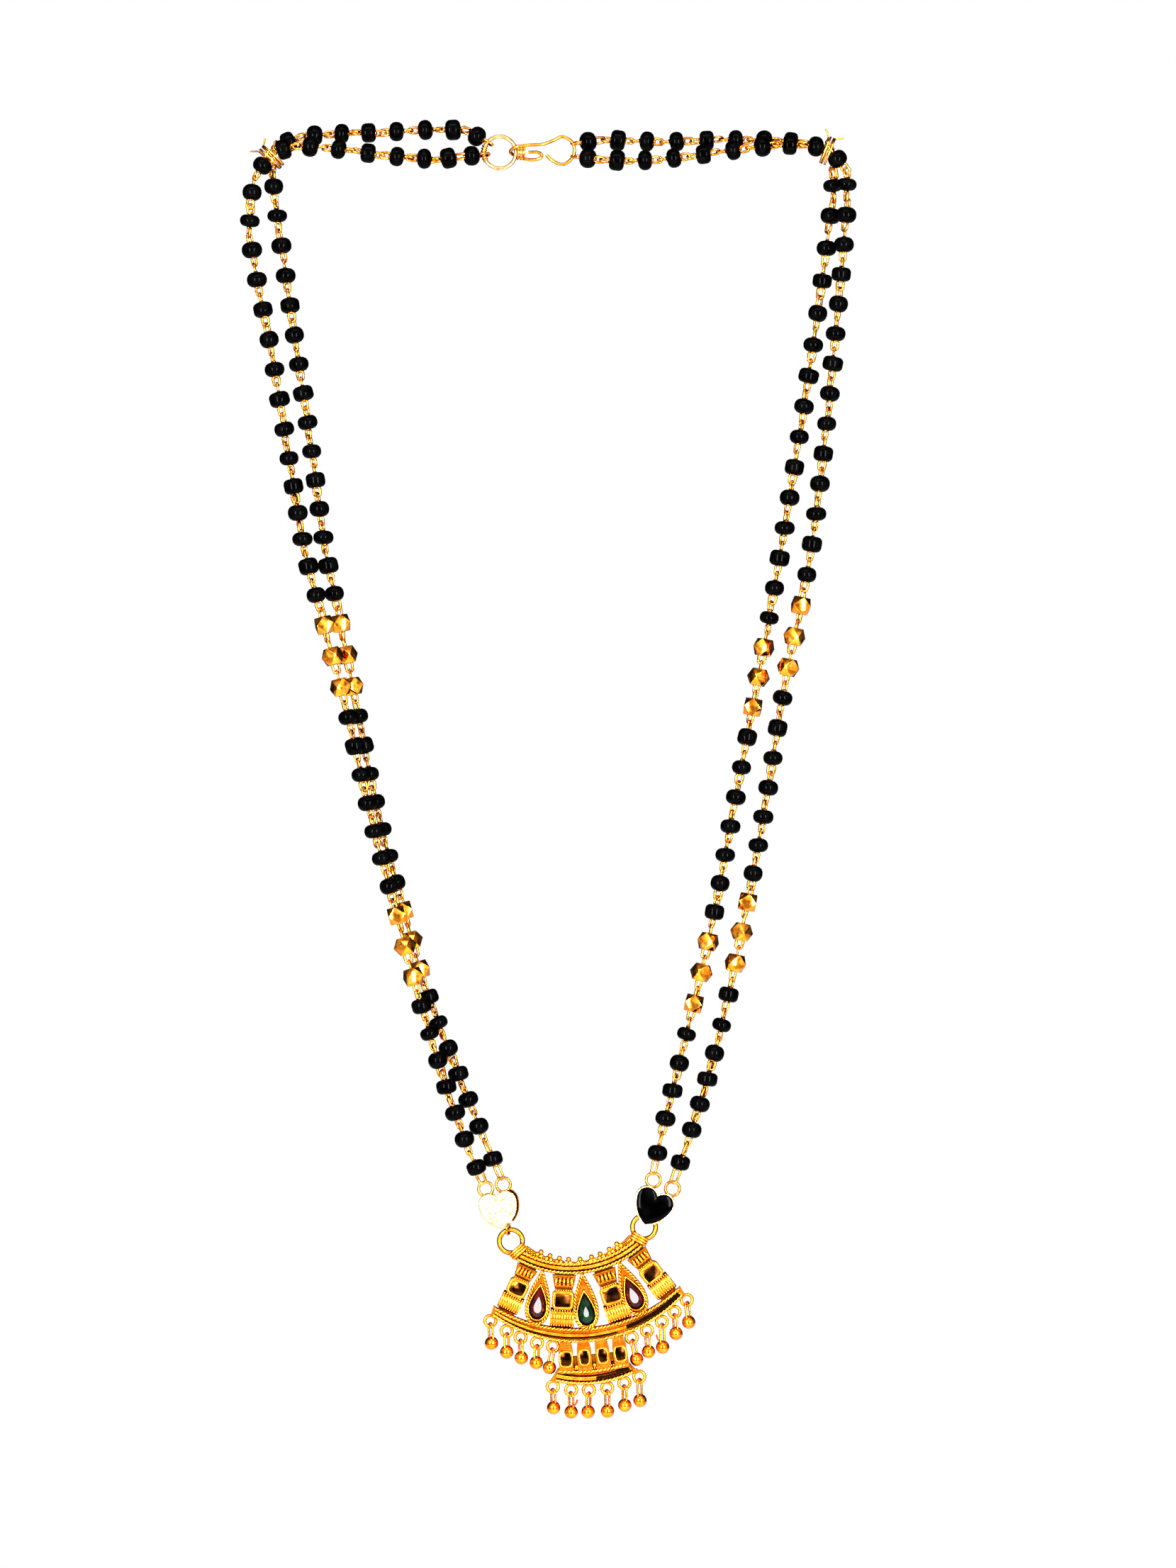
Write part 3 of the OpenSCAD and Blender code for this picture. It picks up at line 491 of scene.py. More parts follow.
# %% Route tables
# Each row: joint's number, then x, y and z in millimetres.
STRANDS = {
    "left_outer": [
        [0, -12.17, 0, -0.79], [1, -16.5, -1, -1.3], [2, -20.3, -1.3, -1.8],
        [4, -29.9, -1.7, -1.1], [6, -40.3, -1.75, 0.3], [7, -45.1, -1.75, 0.5],
        [8, -49.7, -1.7, -0.7], [9, -52.5, -1.7, -5.2], [11, -53.3, -1.75, -15.2],
        [15, -49.4, -1.8, -36.2], [19, -46, -1.8, -57], [22, -43.6, -1.8, -71],
        [24, -40.9, -2.1, -81.1], [27, -36.6, -2.1, -97.4], [31, -32, -1.8, -117.6],
        [34, -28.1, -2.1, -132.2], [37, -23.8, -2.1, -148.3], [40, -19.5, -1.6, -162.7],
        [43, -14.7, -1.4, -176.6], [44, -12.29, -0.05, -182]],
    "left_inner": [
        [0, -11.53, 0, 1.42], [1, -15.3, 0.9, 3.6], [2, -20, 1.3, 3.9], [4, -30.2, 1.7, 3.4],
        [6, -39.7, 1.75, 3.1], [7, -44.6, 1.75, 2.6], [8, -48.9, 1.5, 0.8], [9, -49.6, 1.5, -3.6],
        [10, -49.1, 1.75, -8.7], [14, -46.1, 1.8, -29.8], [18, -43, 1.8, -50.4],
        [22, -40.2, 1.8, -70.7], [24, -38.1, 2.1, -80.6], [27, -34.9, 2.1, -97.2],
        [31, -30.9, 1.8, -117.4], [34, -27.1, 2.1, -131.6],
        [37, -22.8, 2.1, -147.1], [40, -17.6, 1.5, -160.7], [43, -12.1, 0.9, -174.6],
        [44, -9.06, -0.05, -181.19]],
    "right_outer": [
        [0, 3.55, 0, -1.05], [1, 8.8, -1.85, -2], [3, 18.7, -1.7, -1.9], [5, 29.1, -1.75, -0.6],
        [7, 39.4, -1.85, 0.7], [8, 44, -1.85, 0.7], [9, 48.6, -1.6, 0], [10, 51.6, -1.6, -3.5],
        [11, 51.8, -1.75, -9], [15, 50, -1.75, -29.9], [19, 47.9, -1.6, -51],
        [23, 45.2, -1.4, -72.2], [27, 40.9, -1.2, -93.9], [31, 37.5, -1, -115],
        [35, 33.8, -0.8, -135.1], [39, 29.1, -0.9, -156.8],
        [43, 23.7, -1.3, -175], [44, 21.19, -1.25, -181.77]],
    "right_inner": [
        [0, 3.51, 0, 1.18], [1, 8.9, 1.85, 2.1], [3, 19.2, 1.7, 1.7], [5, 29.8, 1.75, 2.1],
        [7, 39.8, 1.85, 1.9], [8, 44.2, 1.85, 1.5], [9, 48.6, 1.6, 0.5], [10, 49.6, 1.6, -3.5],
        [11, 49.4, 1.75, -8.5], [15, 46.4, 1.75, -31.4], [19, 43.1, 1.6, -53.1],
        [23, 39.6, 1.4, -74.5], [27, 35.8, 1.2, -95.5], [31, 31.8, 1, -116.7],
        [35, 28, 0.7, -136.9], [39, 22.9, -0.4, -158.5],
        [42, 19.2, -1.2, -173.2], [43, 17.65, -1.25, -180.23]]}
# What the links carry, from the clasp down: b glass, g gold, - nothing.
LOADS = {
    "left_outer": "b" * 24 + "ggg" + "b" * 7 + "ggg" + "b" * 7,
    "left_inner": "b" * 8 + "-" + "b" * 15 + "ggg" + "b" * 7 + "ggg" + "b" * 7,
    "right_outer": "b" * 24 + "ggg" + "b" * 7 + "ggg" + "b" * 7,
    "right_inner": "b" * 9 + "-" + "b" * 15 + "ggg" + "b" * 7 + "ggg" + "b" * 5}


def row_point(row):
    """A route row's point in metres."""
    return Vector(row[1:4]) * MM


def curve_point(rows, place):
    """The point at a place on the smooth curve through a table's rows."""
    last = len(rows) - 1
    k = 0
    while k < last - 1 and place > rows[k + 1][0]:
        k += 1

    def slope(i):
        a, b = max(i - 1, 0), min(i + 1, last)
        return (row_point(rows[b]) - row_point(rows[a])) / (rows[b][0] - rows[a][0])

    wide = rows[k + 1][0] - rows[k][0]
    u = (place - rows[k][0]) / wide
    return ((2 * u**3 - 3 * u**2 + 1) * row_point(rows[k]) + (u**3 - 2 * u**2 + u) * wide * slope(k)
            + (3 * u**2 - 2 * u**3) * row_point(rows[k + 1]) + (u**3 - u**2) * wide * slope(k + 1))


def on_link(start, end):
    """The place of a thing made upright about the origin, on the link from start to end."""
    d = end - start
    lean = math.acos(d.z / d.length)
    heading = math.atan2(d.y, d.x)
    return (Matrix.Translation((start + end) / 2) @ Matrix.Rotation(heading, 4, "Z")
            @ Matrix.Rotation(lean, 4, "Y"))


joints = {
    name: [curve_point(rows, j) for j in range(rows[-1][0] + 1)] for name, rows in STRANDS.items()}
for name, loads in LOADS.items():
    print(name, "links:", len(loads), "joints:", len(joints[name]))

# %% [markdown]
# ## Glass beads
# A wound glass bead is a ring with a round belly. It could be a torus, but its belly is
# flatter at the hole, so a drilled disc with wide round edges is closer: a cylinder whose
# rims are bevelled, and whose two caps are inset to the hole, opened and bridged. No two
# wound beads are alike, so there are three masters, a round, a square and a flat one, and
# each copy differs a little in length and width and sits askew. Sines of a bead's number
# scatter these, the same way at each run.

# %% Glass bead masters
GLASS_D = 3.5
GLASS_VARY = 0.08
HOLE_D = 1.1
ASKEW = 9.0


def glass_master(name, long, roundness):
    """A drilled glass bead of a length in mm, its rims rounded by a share of that."""
    clear_bench()
    bpy.ops.mesh.primitive_cylinder_add(
        vertices=20, radius=GLASS_D / 2 * MM, depth=long * MM, end_fill_type="NGON")
    bead = bpy.context.object
    pick(bead, "FACE", lambda at, normal: abs(normal.z) > 0.9)
    bpy.ops.mesh.bevel(
        offset=roundness * long * MM, segments=4, profile=0.5, affect="EDGES", clamp_overlap=True)
    leave()
    cap_z = 0.49 * long * MM
    pick(bead, "FACE", lambda at, normal: abs(at.z) > cap_z and at.xy.length < 0.05 * MM)
    bpy.ops.mesh.inset(
        thickness=(GLASS_D / 2 - roundness * long - HOLE_D / 2) * MM, use_individual=True)
    bpy.ops.mesh.delete(type="FACE")
    bpy.ops.mesh.select_mode(type="EDGE")
    bpy.ops.mesh.select_non_manifold()
    bpy.ops.mesh.bridge_edge_loops()
    bpy.ops.mesh.select_all(action="SELECT")
    bpy.ops.mesh.normals_make_consistent(inside=False)
    leave()
    return smooth(settle(bead, name))


round_bead = glass_master("round_bead", 2.6, 0.45)
square_bead = glass_master("square_bead", 2.6, 0.33)
flat_bead = glass_master("flat_bead", 2.25, 0.45)
print("bead master faces:", len(round_bead.data.polygons))


def bead_kind(i):
    """Which master a string's bead is copied from."""
    if i % 7 == 3:
        return flat_bead
    return square_bead if i % 3 == 1 else round_bead


# %% Copy the glass beads along the strands
for name, points in joints.items():
    groups = {}
    for i, load in enumerate(LOADS[name]):
        if load != "b":
            continue
        long = 1 + GLASS_VARY * math.sin(math.radians(131 * i + 40))
        wide = 1 + 0.4 * GLASS_VARY * math.sin(math.radians(73 * i))
        stance = Matrix.Rotation(1.7 * i, 4, "Z") @ turning(ASKEW * math.sin(2.3 * i), "X")
        size = Matrix.Diagonal((wide, wide, long, 1))
        place = on_link(points[i], points[i + 1]) @ stance @ size
        groups.setdefault(bead_kind(i), []).append(place)
    kinds = [copies(master, places, "beads") for master, places in groups.items()]
    beads = fuse(kinds, "beads_glass_" + name)
    declare(paint(beads, black_glass), "root", "black_glass", "glass_beads_" + name)
    print(beads.name, "beads:", sum(len(places) for places in groups.values()))
for master in (round_bead, square_bead, flat_bead):
    shelve(master)

# %% [markdown]
# ## Gold beads
# The gold beads are cubes whose corners are cut down to the middles of the edges, which
# leaves six square and eight three sided facets. A vertex bevel does just that to a cube.
# A narrow edge bevel then catches light the way a polished edge does.

# %% Gold bead master
GOLD_W = 3.0
EDGE_POLISH = 0.07

clear_bench()
bpy.ops.mesh.primitive_cube_add(size=GOLD_W * MM)
bead = bpy.context.object
bpy.ops.object.mode_set(mode="EDIT")
bpy.ops.mesh.select_mode(type="VERT")
bpy.ops.mesh.select_all(action="SELECT")
bpy.ops.mesh.bevel(offset=GOLD_W / 2 * MM, affect="VERTICES", clamp_overlap=True)
bpy.ops.mesh.remove_doubles(threshold=0.02 * MM)
bpy.ops.mesh.select_all(action="SELECT")
bpy.ops.mesh.bevel(offset=EDGE_POLISH * MM, segments=2, affect="EDGES")
leave()
bead = smooth(settle(bead, "gold_bead_master"), 20)
print("gold bead faces:", len(bead.data.polygons), "width: %.2f" % (bead.dimensions.x / MM))

# %% Copy the gold beads along the strands
ROLL = 37
for name, points in joints.items():
    places = [
        on_link(points[i], points[i + 1]) @ turning(ROLL * i, "Z")
        for i, load in enumerate(LOADS[name]) if load == "g"]
    beads = paint(copies(bead, places, "beads_gold_" + name), facet_gold)
    declare(beads, "root", "gold", "gold_beads_" + name)
    print(beads.name, "beads:", len(places))
shelve(bead)

# %% [markdown]
# ## Eye pins
# Each bead is threaded on a wire whose ends are bent into long eyes, and each eye hangs in
# the next. The eyes at the two ends of a pin lie crosswise, so that at each joint one is
# seen flat and the other on its edge. An eye is a thin torus whose outer half is drawn
# away from the bead, the wire wraps once round its own neck, and a cut end stands off.

# %% Eye pin master
PIN_WIRE = 0.46
PITCH = 5.2
EYE_R = 0.54
EYE_ROOT = 1.42
NECK_Z, NECK_R, NECK_WIRE = 1.28, 0.33, 0.34
TAIL_WIRE, TAIL_LEN = 0.26, 0.8


def long_eye(up, turn):
    """One eye above or below the bead, in an upright plane turned by an angle."""
    clear_bench()
    middle_z = up * (EYE_ROOT + EYE_R / 2) * MM
    bpy.ops.mesh.primitive_torus_add(
        major_radius=EYE_R * MM, minor_radius=PIN_WIRE / 2 * MM, major_segments=12,
        minor_segments=6, rotation=(math.pi / 2, 0, math.radians(turn)), location=(0, 0, middle_z))
    eye = settle(bpy.context.object, "eye")
    reach = PITCH / 2 + PIN_WIRE / 2 - (EYE_ROOT + 1.5 * EYE_R)
    pick(eye, "VERT", lambda at: up * (at.z - middle_z) > 0.05 * MM)
    bpy.ops.transform.translate(value=(0, 0, up * reach * MM))
    leave()
    return eye


def neck(up):
    """The wire's turn round its own neck, close to the bead."""
    clear_bench()
    bpy.ops.mesh.primitive_torus_add(
        major_radius=NECK_R * MM, minor_radius=NECK_WIRE / 2 * MM, major_segments=8, minor_segments=6,
        rotation=(0.25, 0.2 * up, 0), location=(0, 0, up * NECK_Z * MM))
    return bpy.context.object


clear_bench()
bpy.ops.mesh.primitive_cylinder_add(
    vertices=8, radius=PIN_WIRE / 2 * MM, depth=2 * EYE_ROOT * MM)
shaft = bpy.context.object
pin = smooth(fuse([shaft, long_eye(1, 0), long_eye(-1, 90), neck(1), neck(-1)], "pin_master"))
clear_bench()
bpy.ops.mesh.primitive_cylinder_add(
    vertices=6, radius=TAIL_WIRE / 2 * MM, depth=TAIL_LEN * MM,
    location=Vector((0.42, 0.1, 1.62)) * MM, rotation=(0.3, 0.9, 0))
tail = smooth(settle(bpy.context.object, "tail_master"))
print("pin faces:", len(pin.data.polygons), "length: %.2f" % (pin.dimensions.z / MM))


def stretched(piece, reach):
    """Draws the outer halves of a copied pin's eyes out to a link's own length."""
    for vertex in piece.vertices:
        if abs(vertex.co.z) > (EYE_ROOT + EYE_R) * MM:
            vertex.co.z += math.copysign(reach, vertex.co.z)


# %% Copy the eye pins along the strands
PIN_ROLL = 28
CROOK = 5.0
SQUEEZE = 0.14
for name, points in joints.items():
    made = []
    for i in range(len(points) - 1):
        roll = turning(20 + PIN_ROLL * math.sin(1.9 * i), "Z")
        crook = turning(CROOK * math.sin(2.7 * i), "X")
        wide = 1 + SQUEEZE * math.sin(3.1 * i)
        squeezed = Matrix.Diagonal((wide, 2 - wide, 1, 1))
        place = on_link(points[i], points[i + 1]) @ roll @ crook @ squeezed
        parts = [copy_of(pin)] if i % 3 else [copy_of(pin), copy_of(tail)]
        stretched(parts[0].data, ((points[i + 1] - points[i]).length - PITCH * MM) / 2)
        for part in parts:
            part.data.transform(place)
        made += parts
    wires = paint(fuse(made, "wires_" + name), wire_gold)
    declare(wires, "root", "gold", "chain_" + name)
    print(wires.name, "pins:", len(points) - 1, "faces:", len(wires.data.polygons))
shelve(pin)
shelve(tail)

# %% [markdown]
# ## Bent wire
# The clasp's hook and the binding ties are single wires bent by hand. A curve with a round
# bevel follows the bends, and is then turned into a mesh.


# %% Wire helper
def bent_wire(name, points, wire_d, sides=10, closed=False):
    """A round wire through points in metres."""
    clear_bench()
    bpy.ops.curve.primitive_nurbs_path_add()
    obj = bpy.context.object
    obj.data.splines.clear()
    line = obj.data.splines.new("POLY")
    line.points.add(len(points) - 1)
    for knot, at in zip(line.points, points):
        knot.co = (*at, 1)
    line.use_cyclic_u = closed
    obj.data.bevel_depth = wire_d / 2 * MM
    obj.data.bevel_resolution = (sides - 4) // 2
    obj.data.use_fill_caps = True
    obj.location = (0, 0, 0)
    bpy.ops.object.convert(target="MESH")
    return smooth(settle(bpy.context.object, name), 60)


# %% [markdown]
# ### The S hook
# The hook's right end is a wide pear loop that holds both right strands. Its left end is a
# long flat loop that hooks the ring, and its tail curls back inside.

# %% S hook
HOOK_WIRE = 0.56
# Rows: place along the wire, then x, y and z in millimetres.
HOOK = [
    [0, -1.17, 0.38, -0.75], [1, -0.16, 0.13, -1.75], [2, 1.65, 0, -2.5], [3, 3.24, 0, -1.55],
    [4, 3.8, 0, 0], [5, 3.24, 0, 1.6], [6, 1.65, 0, 2.38], [7, 0.07, -0.17, 1.7],
    [8, -1.85, -0.68, 0.95], [9, -4.34, -0.93, 0.75], [10, -6.37, -0.89, 0.5], [11, -7.5, 0, -0.25],
    [12, -6.37, 0.89, -1], [13, -4.34, 0.93, -1.5], [14, -2.64, 0.76, -1.45], [15, -1.96, 0.51, -0.9],
    [16, -2.64, 0.38, -0.3], [17, -4.34, 0.34, -0.3]]
HOOK_STEPS = 8
bends = [curve_point(HOOK, k / HOOK_STEPS) for k in range(HOOK[-1][0] * HOOK_STEPS + 1)]
hook = paint(bent_wire("hook_wire", bends, HOOK_WIRE, 12), wire_gold)
declare(hook, "root", "gold", "clasp_hook")
print("hook faces:", len(hook.data.polygons))

# %% [markdown]
# ### The corner ties
# At each top corner a fine wire binds the two strands together. It is wound by hand, so
# its turns cross at odd angles and both ends stand out.

# %% Corner ties
TIE_WIRE = 0.3
TIE_R = 2.4
TIE_TURNS = 5
TIE_PITCH, TIE_WANDER = 0.3, 0.22
TURN_POINTS = 18
# Rows: side, middle in millimetres and angle of the winding's axis.
TIES = [("left", (-49.65, 0, -1.24), 48), ("right", (48.4, 0, -0.06), -22)]
for side, at, axis in TIES:
    a = math.radians(axis)
    along = Vector((math.cos(a), 0, math.sin(a)))
    across = Vector((-math.sin(a), 0, math.cos(a)))
    back = Vector((0, 1, 0))
    turns = []
    for k in range(TIE_TURNS * TURN_POINTS + 1):
        w = 2 * math.pi * k / TURN_POINTS
        spread = TIE_PITCH * (k / TURN_POINTS - TIE_TURNS / 2) + TIE_WANDER * math.sin(0.37 * w)
        round_it = TIE_R * (math.cos(w) * across + math.sin(w) * back)
        turns.append((Vector(at) + round_it + spread * along) * MM)
    # Both ends stand out from the winding.
    turns.insert(0, turns[0] + (1.1 * across - 1.0 * along) * MM)
    turns.append(turns[-1] + (0.7 * across + 1.3 * along) * MM)
    wire = paint(bent_wire("tie_" + side, turns, TIE_WIRE, 8), wire_gold)
    declare(wire, "root", "gold", "corner_tie_" + side)
print("ties:", len(TIES))

# %% [markdown]
# ### Turns on the clasp
# The links at the ring end in a few turns of wire wound round the ring itself, and three
# turns hold the hook's doubled middle together.

# %% Clasp turns
RING_MID, RING_R = Vector((-9.37, 0, -0.4)), 2.825
COIL_R, COIL_TURNS, COIL_POINTS = 0.42, 7, 12
COIL_START, COIL_SPAN, COIL_WIRE = 150, 60, 0.28
BIND_TURNS, BIND_PITCH, BIND_X, BIND_Z = 3, 0.54, -6.5, -0.36
BIND_DEEP, BIND_HIGH, BIND_WIRE = 1.3, 1.25, 0.3
coil = []
for k in range(COIL_TURNS * COIL_POINTS + 1):
    at = math.radians(COIL_START + COIL_SPAN * k / (COIL_TURNS * COIL_POINTS))
    out = Vector((math.cos(at), 0, math.sin(at)))
    w = 2 * math.pi * k / COIL_POINTS
    deep = Vector((0, COIL_R * math.sin(w), 0))
    coil.append((RING_MID + (RING_R + COIL_R * math.cos(w)) * out + deep) * MM)
turns = []
for k in range(BIND_TURNS * TURN_POINTS + 1):
    w = 2 * math.pi * k / TURN_POINTS
    x = BIND_X + BIND_PITCH * k / TURN_POINTS
    turns.append(Vector((x, BIND_DEEP * math.sin(w), BIND_Z + BIND_HIGH * math.cos(w))) * MM)
windings = [bent_wire("ring_coil", coil, COIL_WIRE, 6), bent_wire("hook_turns", turns, BIND_WIRE, 6)]
binding = fuse(windings, "clasp_turns")
declare(paint(binding, wire_gold), "root", "gold")
print("clasp windings:", len(windings))

# %% [markdown]
# ## Forms that rise in steps
# A stone, an enamel dome and a dished plate are one idea: an outline that is lifted towards
# the viewer and drawn in at each step. A flat disc gets the outline, and is then extruded
# and scaled row by row. Last, a tilt sideways and a nod turn a stone's table to the light.


# %% Stepped form helper
def stepped(name, outline, mid, rows, place, angle, tilts=()):
    """Lifts an outline of x and z through rows of share and depth in mm, and places it."""
    clear_bench()
    bpy.ops.mesh.primitive_circle_add(
        vertices=len(outline), radius=MM, fill_type="NGON", rotation=(math.pi / 2, 0, 0))
    form = settle(bpy.context.object, name)
    share, depth = rows[0]
    centre = Vector((mid[0], 0, mid[1]))
    for vertex, (x, z) in zip(form.data.vertices, outline):
        vertex.co = (centre + share * (Vector((x, 0, z)) - centre) + Vector((0, depth, 0))) * MM
    bpy.ops.object.mode_set(mode="EDIT")
    bpy.ops.mesh.select_all(action="SELECT")
    for next_share, next_depth in rows[1:]:
        bpy.ops.mesh.extrude_region_move(
            TRANSFORM_OT_translate={"value": (0, (next_depth - depth) * MM, 0)})
        k = next_share / share
        bpy.ops.transform.resize(
            value=(k, 1, k), center_override=(centre.x * MM, next_depth * MM, centre.z * MM))
        share, depth = next_share, next_depth
    for tilt, axis in tilts:
        bpy.ops.transform.rotate(
            value=math.radians(tilt), orient_axis=axis,
            center_override=(centre.x * MM, depth * MM, centre.z * MM))
    bpy.ops.mesh.select_all(action="SELECT")
    bpy.ops.mesh.normals_make_consistent(inside=False)
    leave()
    form.data.transform(place)
    return smooth(form, angle)


# %% [markdown]
# ### The hearts
# Each is a full heart with two wire eyes on top and a loop below. The right one shows a
# poured dome of black enamel in a rim painted near white as a highlight. The left one is
# turned round, so its back is seen, a shallow dish painted near white as a reflection, in a
# thin gold rim, with the setting's wall behind a painted shadow in the gap at its right.

# %% Heart outline and sections
LOBE_STEPS = 13
SIDE_STEPS = 6
# Rows: side, tip in millimetres, lean, 1 where the enamel faces the viewer, else -1, width
# and height, the lobe's step where the side starts, and how far the side bows out from it.
HEARTS = [
    ("left", (-8.95, 0.3, -190.15), -10, -1, 6.7, 6.5, 3, 3.4),
    ("right", (16.05, -1.6, -189.4), 24.4, 1, 7.15, 6.75, 2, 3.2)]
# Sections, as rows of a share of the outline and a depth in millimetres.
WALL = [(0.97, 0.65), (1, 0.58), (1, -0.6), (0.97, -0.66), (0.93, -0.66), (0.92, -0.6)]
DISH = [(0.95, -0.6), (0.95, -0.72), (0.9, -0.78), (0.6, -0.82), (0.2, -0.84)]
DOME_SHARE, DOME_Z, DOME_RISE = 0.93, -0.63, 0.45
DOME = [(DOME_SHARE, -0.03)] + [
    (DOME_SHARE * math.cos(math.radians(a)), DOME_Z - DOME_RISE * math.sin(math.radians(a)))
    for a in range(0, 89, 11)]


def heart_outline(w, h, first, bow):
    """A heart from its tip at the origin: two lobes, and sides that bow out below them."""
    c = 0.23 * w
    r = w / 2 - c
    z = h - r
    touch = math.atan2(-z, -c) + math.acos(r / math.hypot(c, z))
    notch = math.pi - math.acos(c / r)
    turns = [touch + (notch - touch) * i / LOBE_STEPS for i in range(first, LOBE_STEPS + 1)]
    lobe = [Vector((c + r * math.cos(a), z + r * math.sin(a))) for a in turns]
    knee = lobe[0] + bow * Vector((math.sin(turns[0]), -math.cos(turns[0])))
    steps = [i / SIDE_STEPS for i in range(1, SIDE_STEPS)]
    half = [2 * t * (1 - t) * knee + t * t * lobe[0] for t in steps] + lobe
    return [(0, 0)] + [(x, z) for x, z in half] + [(-x, z) for x, z in reversed(half[:-1])]


print("heart sections:", len(WALL), len(DISH), len(DOME))

# %% [markdown]
# Wires are bent along the outline, and eyes and a loop are soldered to the wall. The chains
# and the pendant hang in these, so they stay where the frame has them.

# %% Setting helpers
# For each heart of the frame: its tip and lean, the eyes' x and height over that tip, and
# the loop's middle and turn.
FRAME_HEARTS = {
    "left": ((-8.164, -0.05, -189.524), -14, [(-2.05, 7.05), (1.15, 7.05)],
             (-7.914, 0, -190.144), -14),
    "right": ((16.196, -1.25, -189.258), 24.4, [(-1.85, 7.7), (1.85, 7.7)],
              (15.956, 0, -187.678), 0)}
EYE_D, EYE_WIRE, LOOP_D, LOOP_WIRE = 3.0, 0.5, 2.49, 0.42


def heart_line(form, share, depth, place):
    """A heart's outline as points, drawn in or out by a share about its middle."""
    outline, mid = form
    return [spot(place, share * x, depth, mid[1] + share * (z - mid[1])) for x, z in outline]


def solder_ring(at, across, wire, rotation):
    """A closed ring of round wire about a point in metres."""
    clear_bench()
    bpy.ops.mesh.primitive_torus_add(
        major_radius=(across - wire) / 2 * MM, minor_radius=wire / 2 * MM, major_segments=32,
        minor_segments=10, location=at, rotation=rotation)
    return bpy.context.object


def heart_body(side, form, place):
    """The setting's wall with its two eyes and the loop below."""
    tip, lean, eyes, loop_at, loop_turn = FRAME_HEARTS[side]
    parts = [stepped("body", *form, WALL, place, 40)]
    for x, z in eyes:
        eye_at = spot(shift(*tip) @ turning(lean, "Y"), x, 0, z)
        parts.append(solder_ring(eye_at, EYE_D, EYE_WIRE, (math.pi / 2, 0, 0)))
    across_loop = (0, math.pi / 2, math.radians(loop_turn))
    parts.append(solder_ring(Vector(loop_at) * MM, LOOP_D, LOOP_WIRE, across_loop))
    return smooth(fuse(parts, "heart_body_" + side), 40)


def heart_wire(name, line, wire_d, closed, material):
    """A gold wire along a heart's line, closed or with open ends."""
    wire = bent_wire(name, line, wire_d, 8 if closed else 6, closed)
    return declare(paint(wire, material), "root", "gold")


# %% Make the hearts
for side, tip, lean, faces, width, height, first, bow in HEARTS:
    outline = heart_outline(width, height, first, bow)
    form = (outline, (0, 0.55 * height))
    stand = shift(*tip) @ turning(lean, "Y")
    turned = stand if faces > 0 else stand @ turning(180, "Z")
    enamel = paint(stepped("enamel_" + side, *form, DOME, turned, 50), black_enamel)
    declare(enamel, "root", "black_enamel", "heart_enamel_" + side)
    rim = heart_line(form, 0.965, -0.66, turned)
    # The rim is painted near white: a painted highlight.
    heart_wire("heart_rim_" + side, rim, 0.24, True, painted_glare_plate)
    body = paint(heart_body(side, form, turned), wire_gold)
    declare(body, "root", "gold", "heart_setting_" + side)
    if faces > 0:
        continue
    # The back is painted near white: a painted reflection.
    back = stepped("heart_back_" + side, *form, DISH, stand, 50)
    declare(paint(back, painted_glare_plate), "root", "gold")
    edge = heart_line(form, 0.965, -0.68, stand)
    heart_wire("heart_edge_" + side, edge, 0.2, True, wire_gold)
    # The painted shadow in the gap and the wall behind it follow the right half, short of tip and
    # notch.
    right = slice(2, len(outline) // 2 - 4)
    gap = heart_line(form, 1.03, -0.5, stand)[right]
    heart_wire("heart_gap_" + side, gap, 0.3, False, shade_groove_gold)
    wall = heart_line(form, 1.09, -0.3, stand)[right]
    heart_wire("heart_wall_" + side, wall, 0.24, False, ball_gold)
print("hearts:", len(HEARTS))

# %% [markdown]
# ## The fan
# The pendant's plate, columns and bands are the frame's. The fine work is laid on them as a
# goldsmith does: ropes of two wires twisted together, smooth bezels, rolled frames with
# mirror facets painted dark as a reflection, ribs, petals and grains. All is drawn in the
# fan's own plane, which hangs a little askew.

# %% Fan helpers
FAN = shift(4.33, 0, -191.1) @ turning(-6, "Y")
ROPE_LAY = 1.4
ROPE_POINTS = 7


def on_fan(x, z, lean=0.0, front=0.0):
    """A place in the fan's plane, at a depth, turned by a lean in degrees."""
    return FAN @ shift(x, front, z) @ turning(-lean, "Y")


def arc_line(mid_x, centre_z, radius, start, end, front):
    """Points on a hanging arc, from one angle to another in degrees."""
    count = max(8, round(radius * math.radians(end - start) / 0.4))
    line = []
    for k in range(count + 1):
        a = math.radians(start + (end - start) * k / count)
        line.append(spot(FAN, mid_x + radius * math.sin(a), front, centre_z - radius * math.cos(a)))
    return line


def twisted(name, line, wire_d, reach, lay=ROPE_LAY):
    """Two wires twisted together along a line, each as far from it as reach, in mm."""
    marks = [0.0]
    for a, b in zip(line, line[1:]):
        marks.append(marks[-1] + (b - a).length)
    count = round(marks[-1] / (lay * MM) * ROPE_POINTS)
    deep = Vector((0, 1, 0))
    strands = []
    for phase in (0, math.pi):
        points, k = [], 0
        for i in range(count + 1):
            s = marks[-1] * i / count
            while k < len(line) - 2 and s > marks[k + 1]:
                k += 1
            ahead = (line[k + 1] - line[k]).normalized()
            at = line[k] + ahead * (s - marks[k])
            w = 2 * math.pi * i / ROPE_POINTS + phase
            points.append(at + reach * MM * (math.cos(w) * ahead.cross(deep) + math.sin(w) * deep))
        strands.append(bent_wire("strand", points, wire_d, 6))
    return fuse(strands, name)


def ride_fan(piece, material):
    """Paints a gold piece of the fan, which swings with the pendant."""
    return declare(paint(piece, material), "pendant", "gold")


# %% [markdown]
# ### Ropes and painted shade channels of the bands
# The outer lines of each band are ropes, the middle one is a smooth rail. On the right the
# rail's groove holds a near black wire, a painted shade, so it reads as a black line.

# %% Band ropes and channels
ROPE_Y, FILL_Y, FILL_WIRE = -0.68, -0.62, 0.26
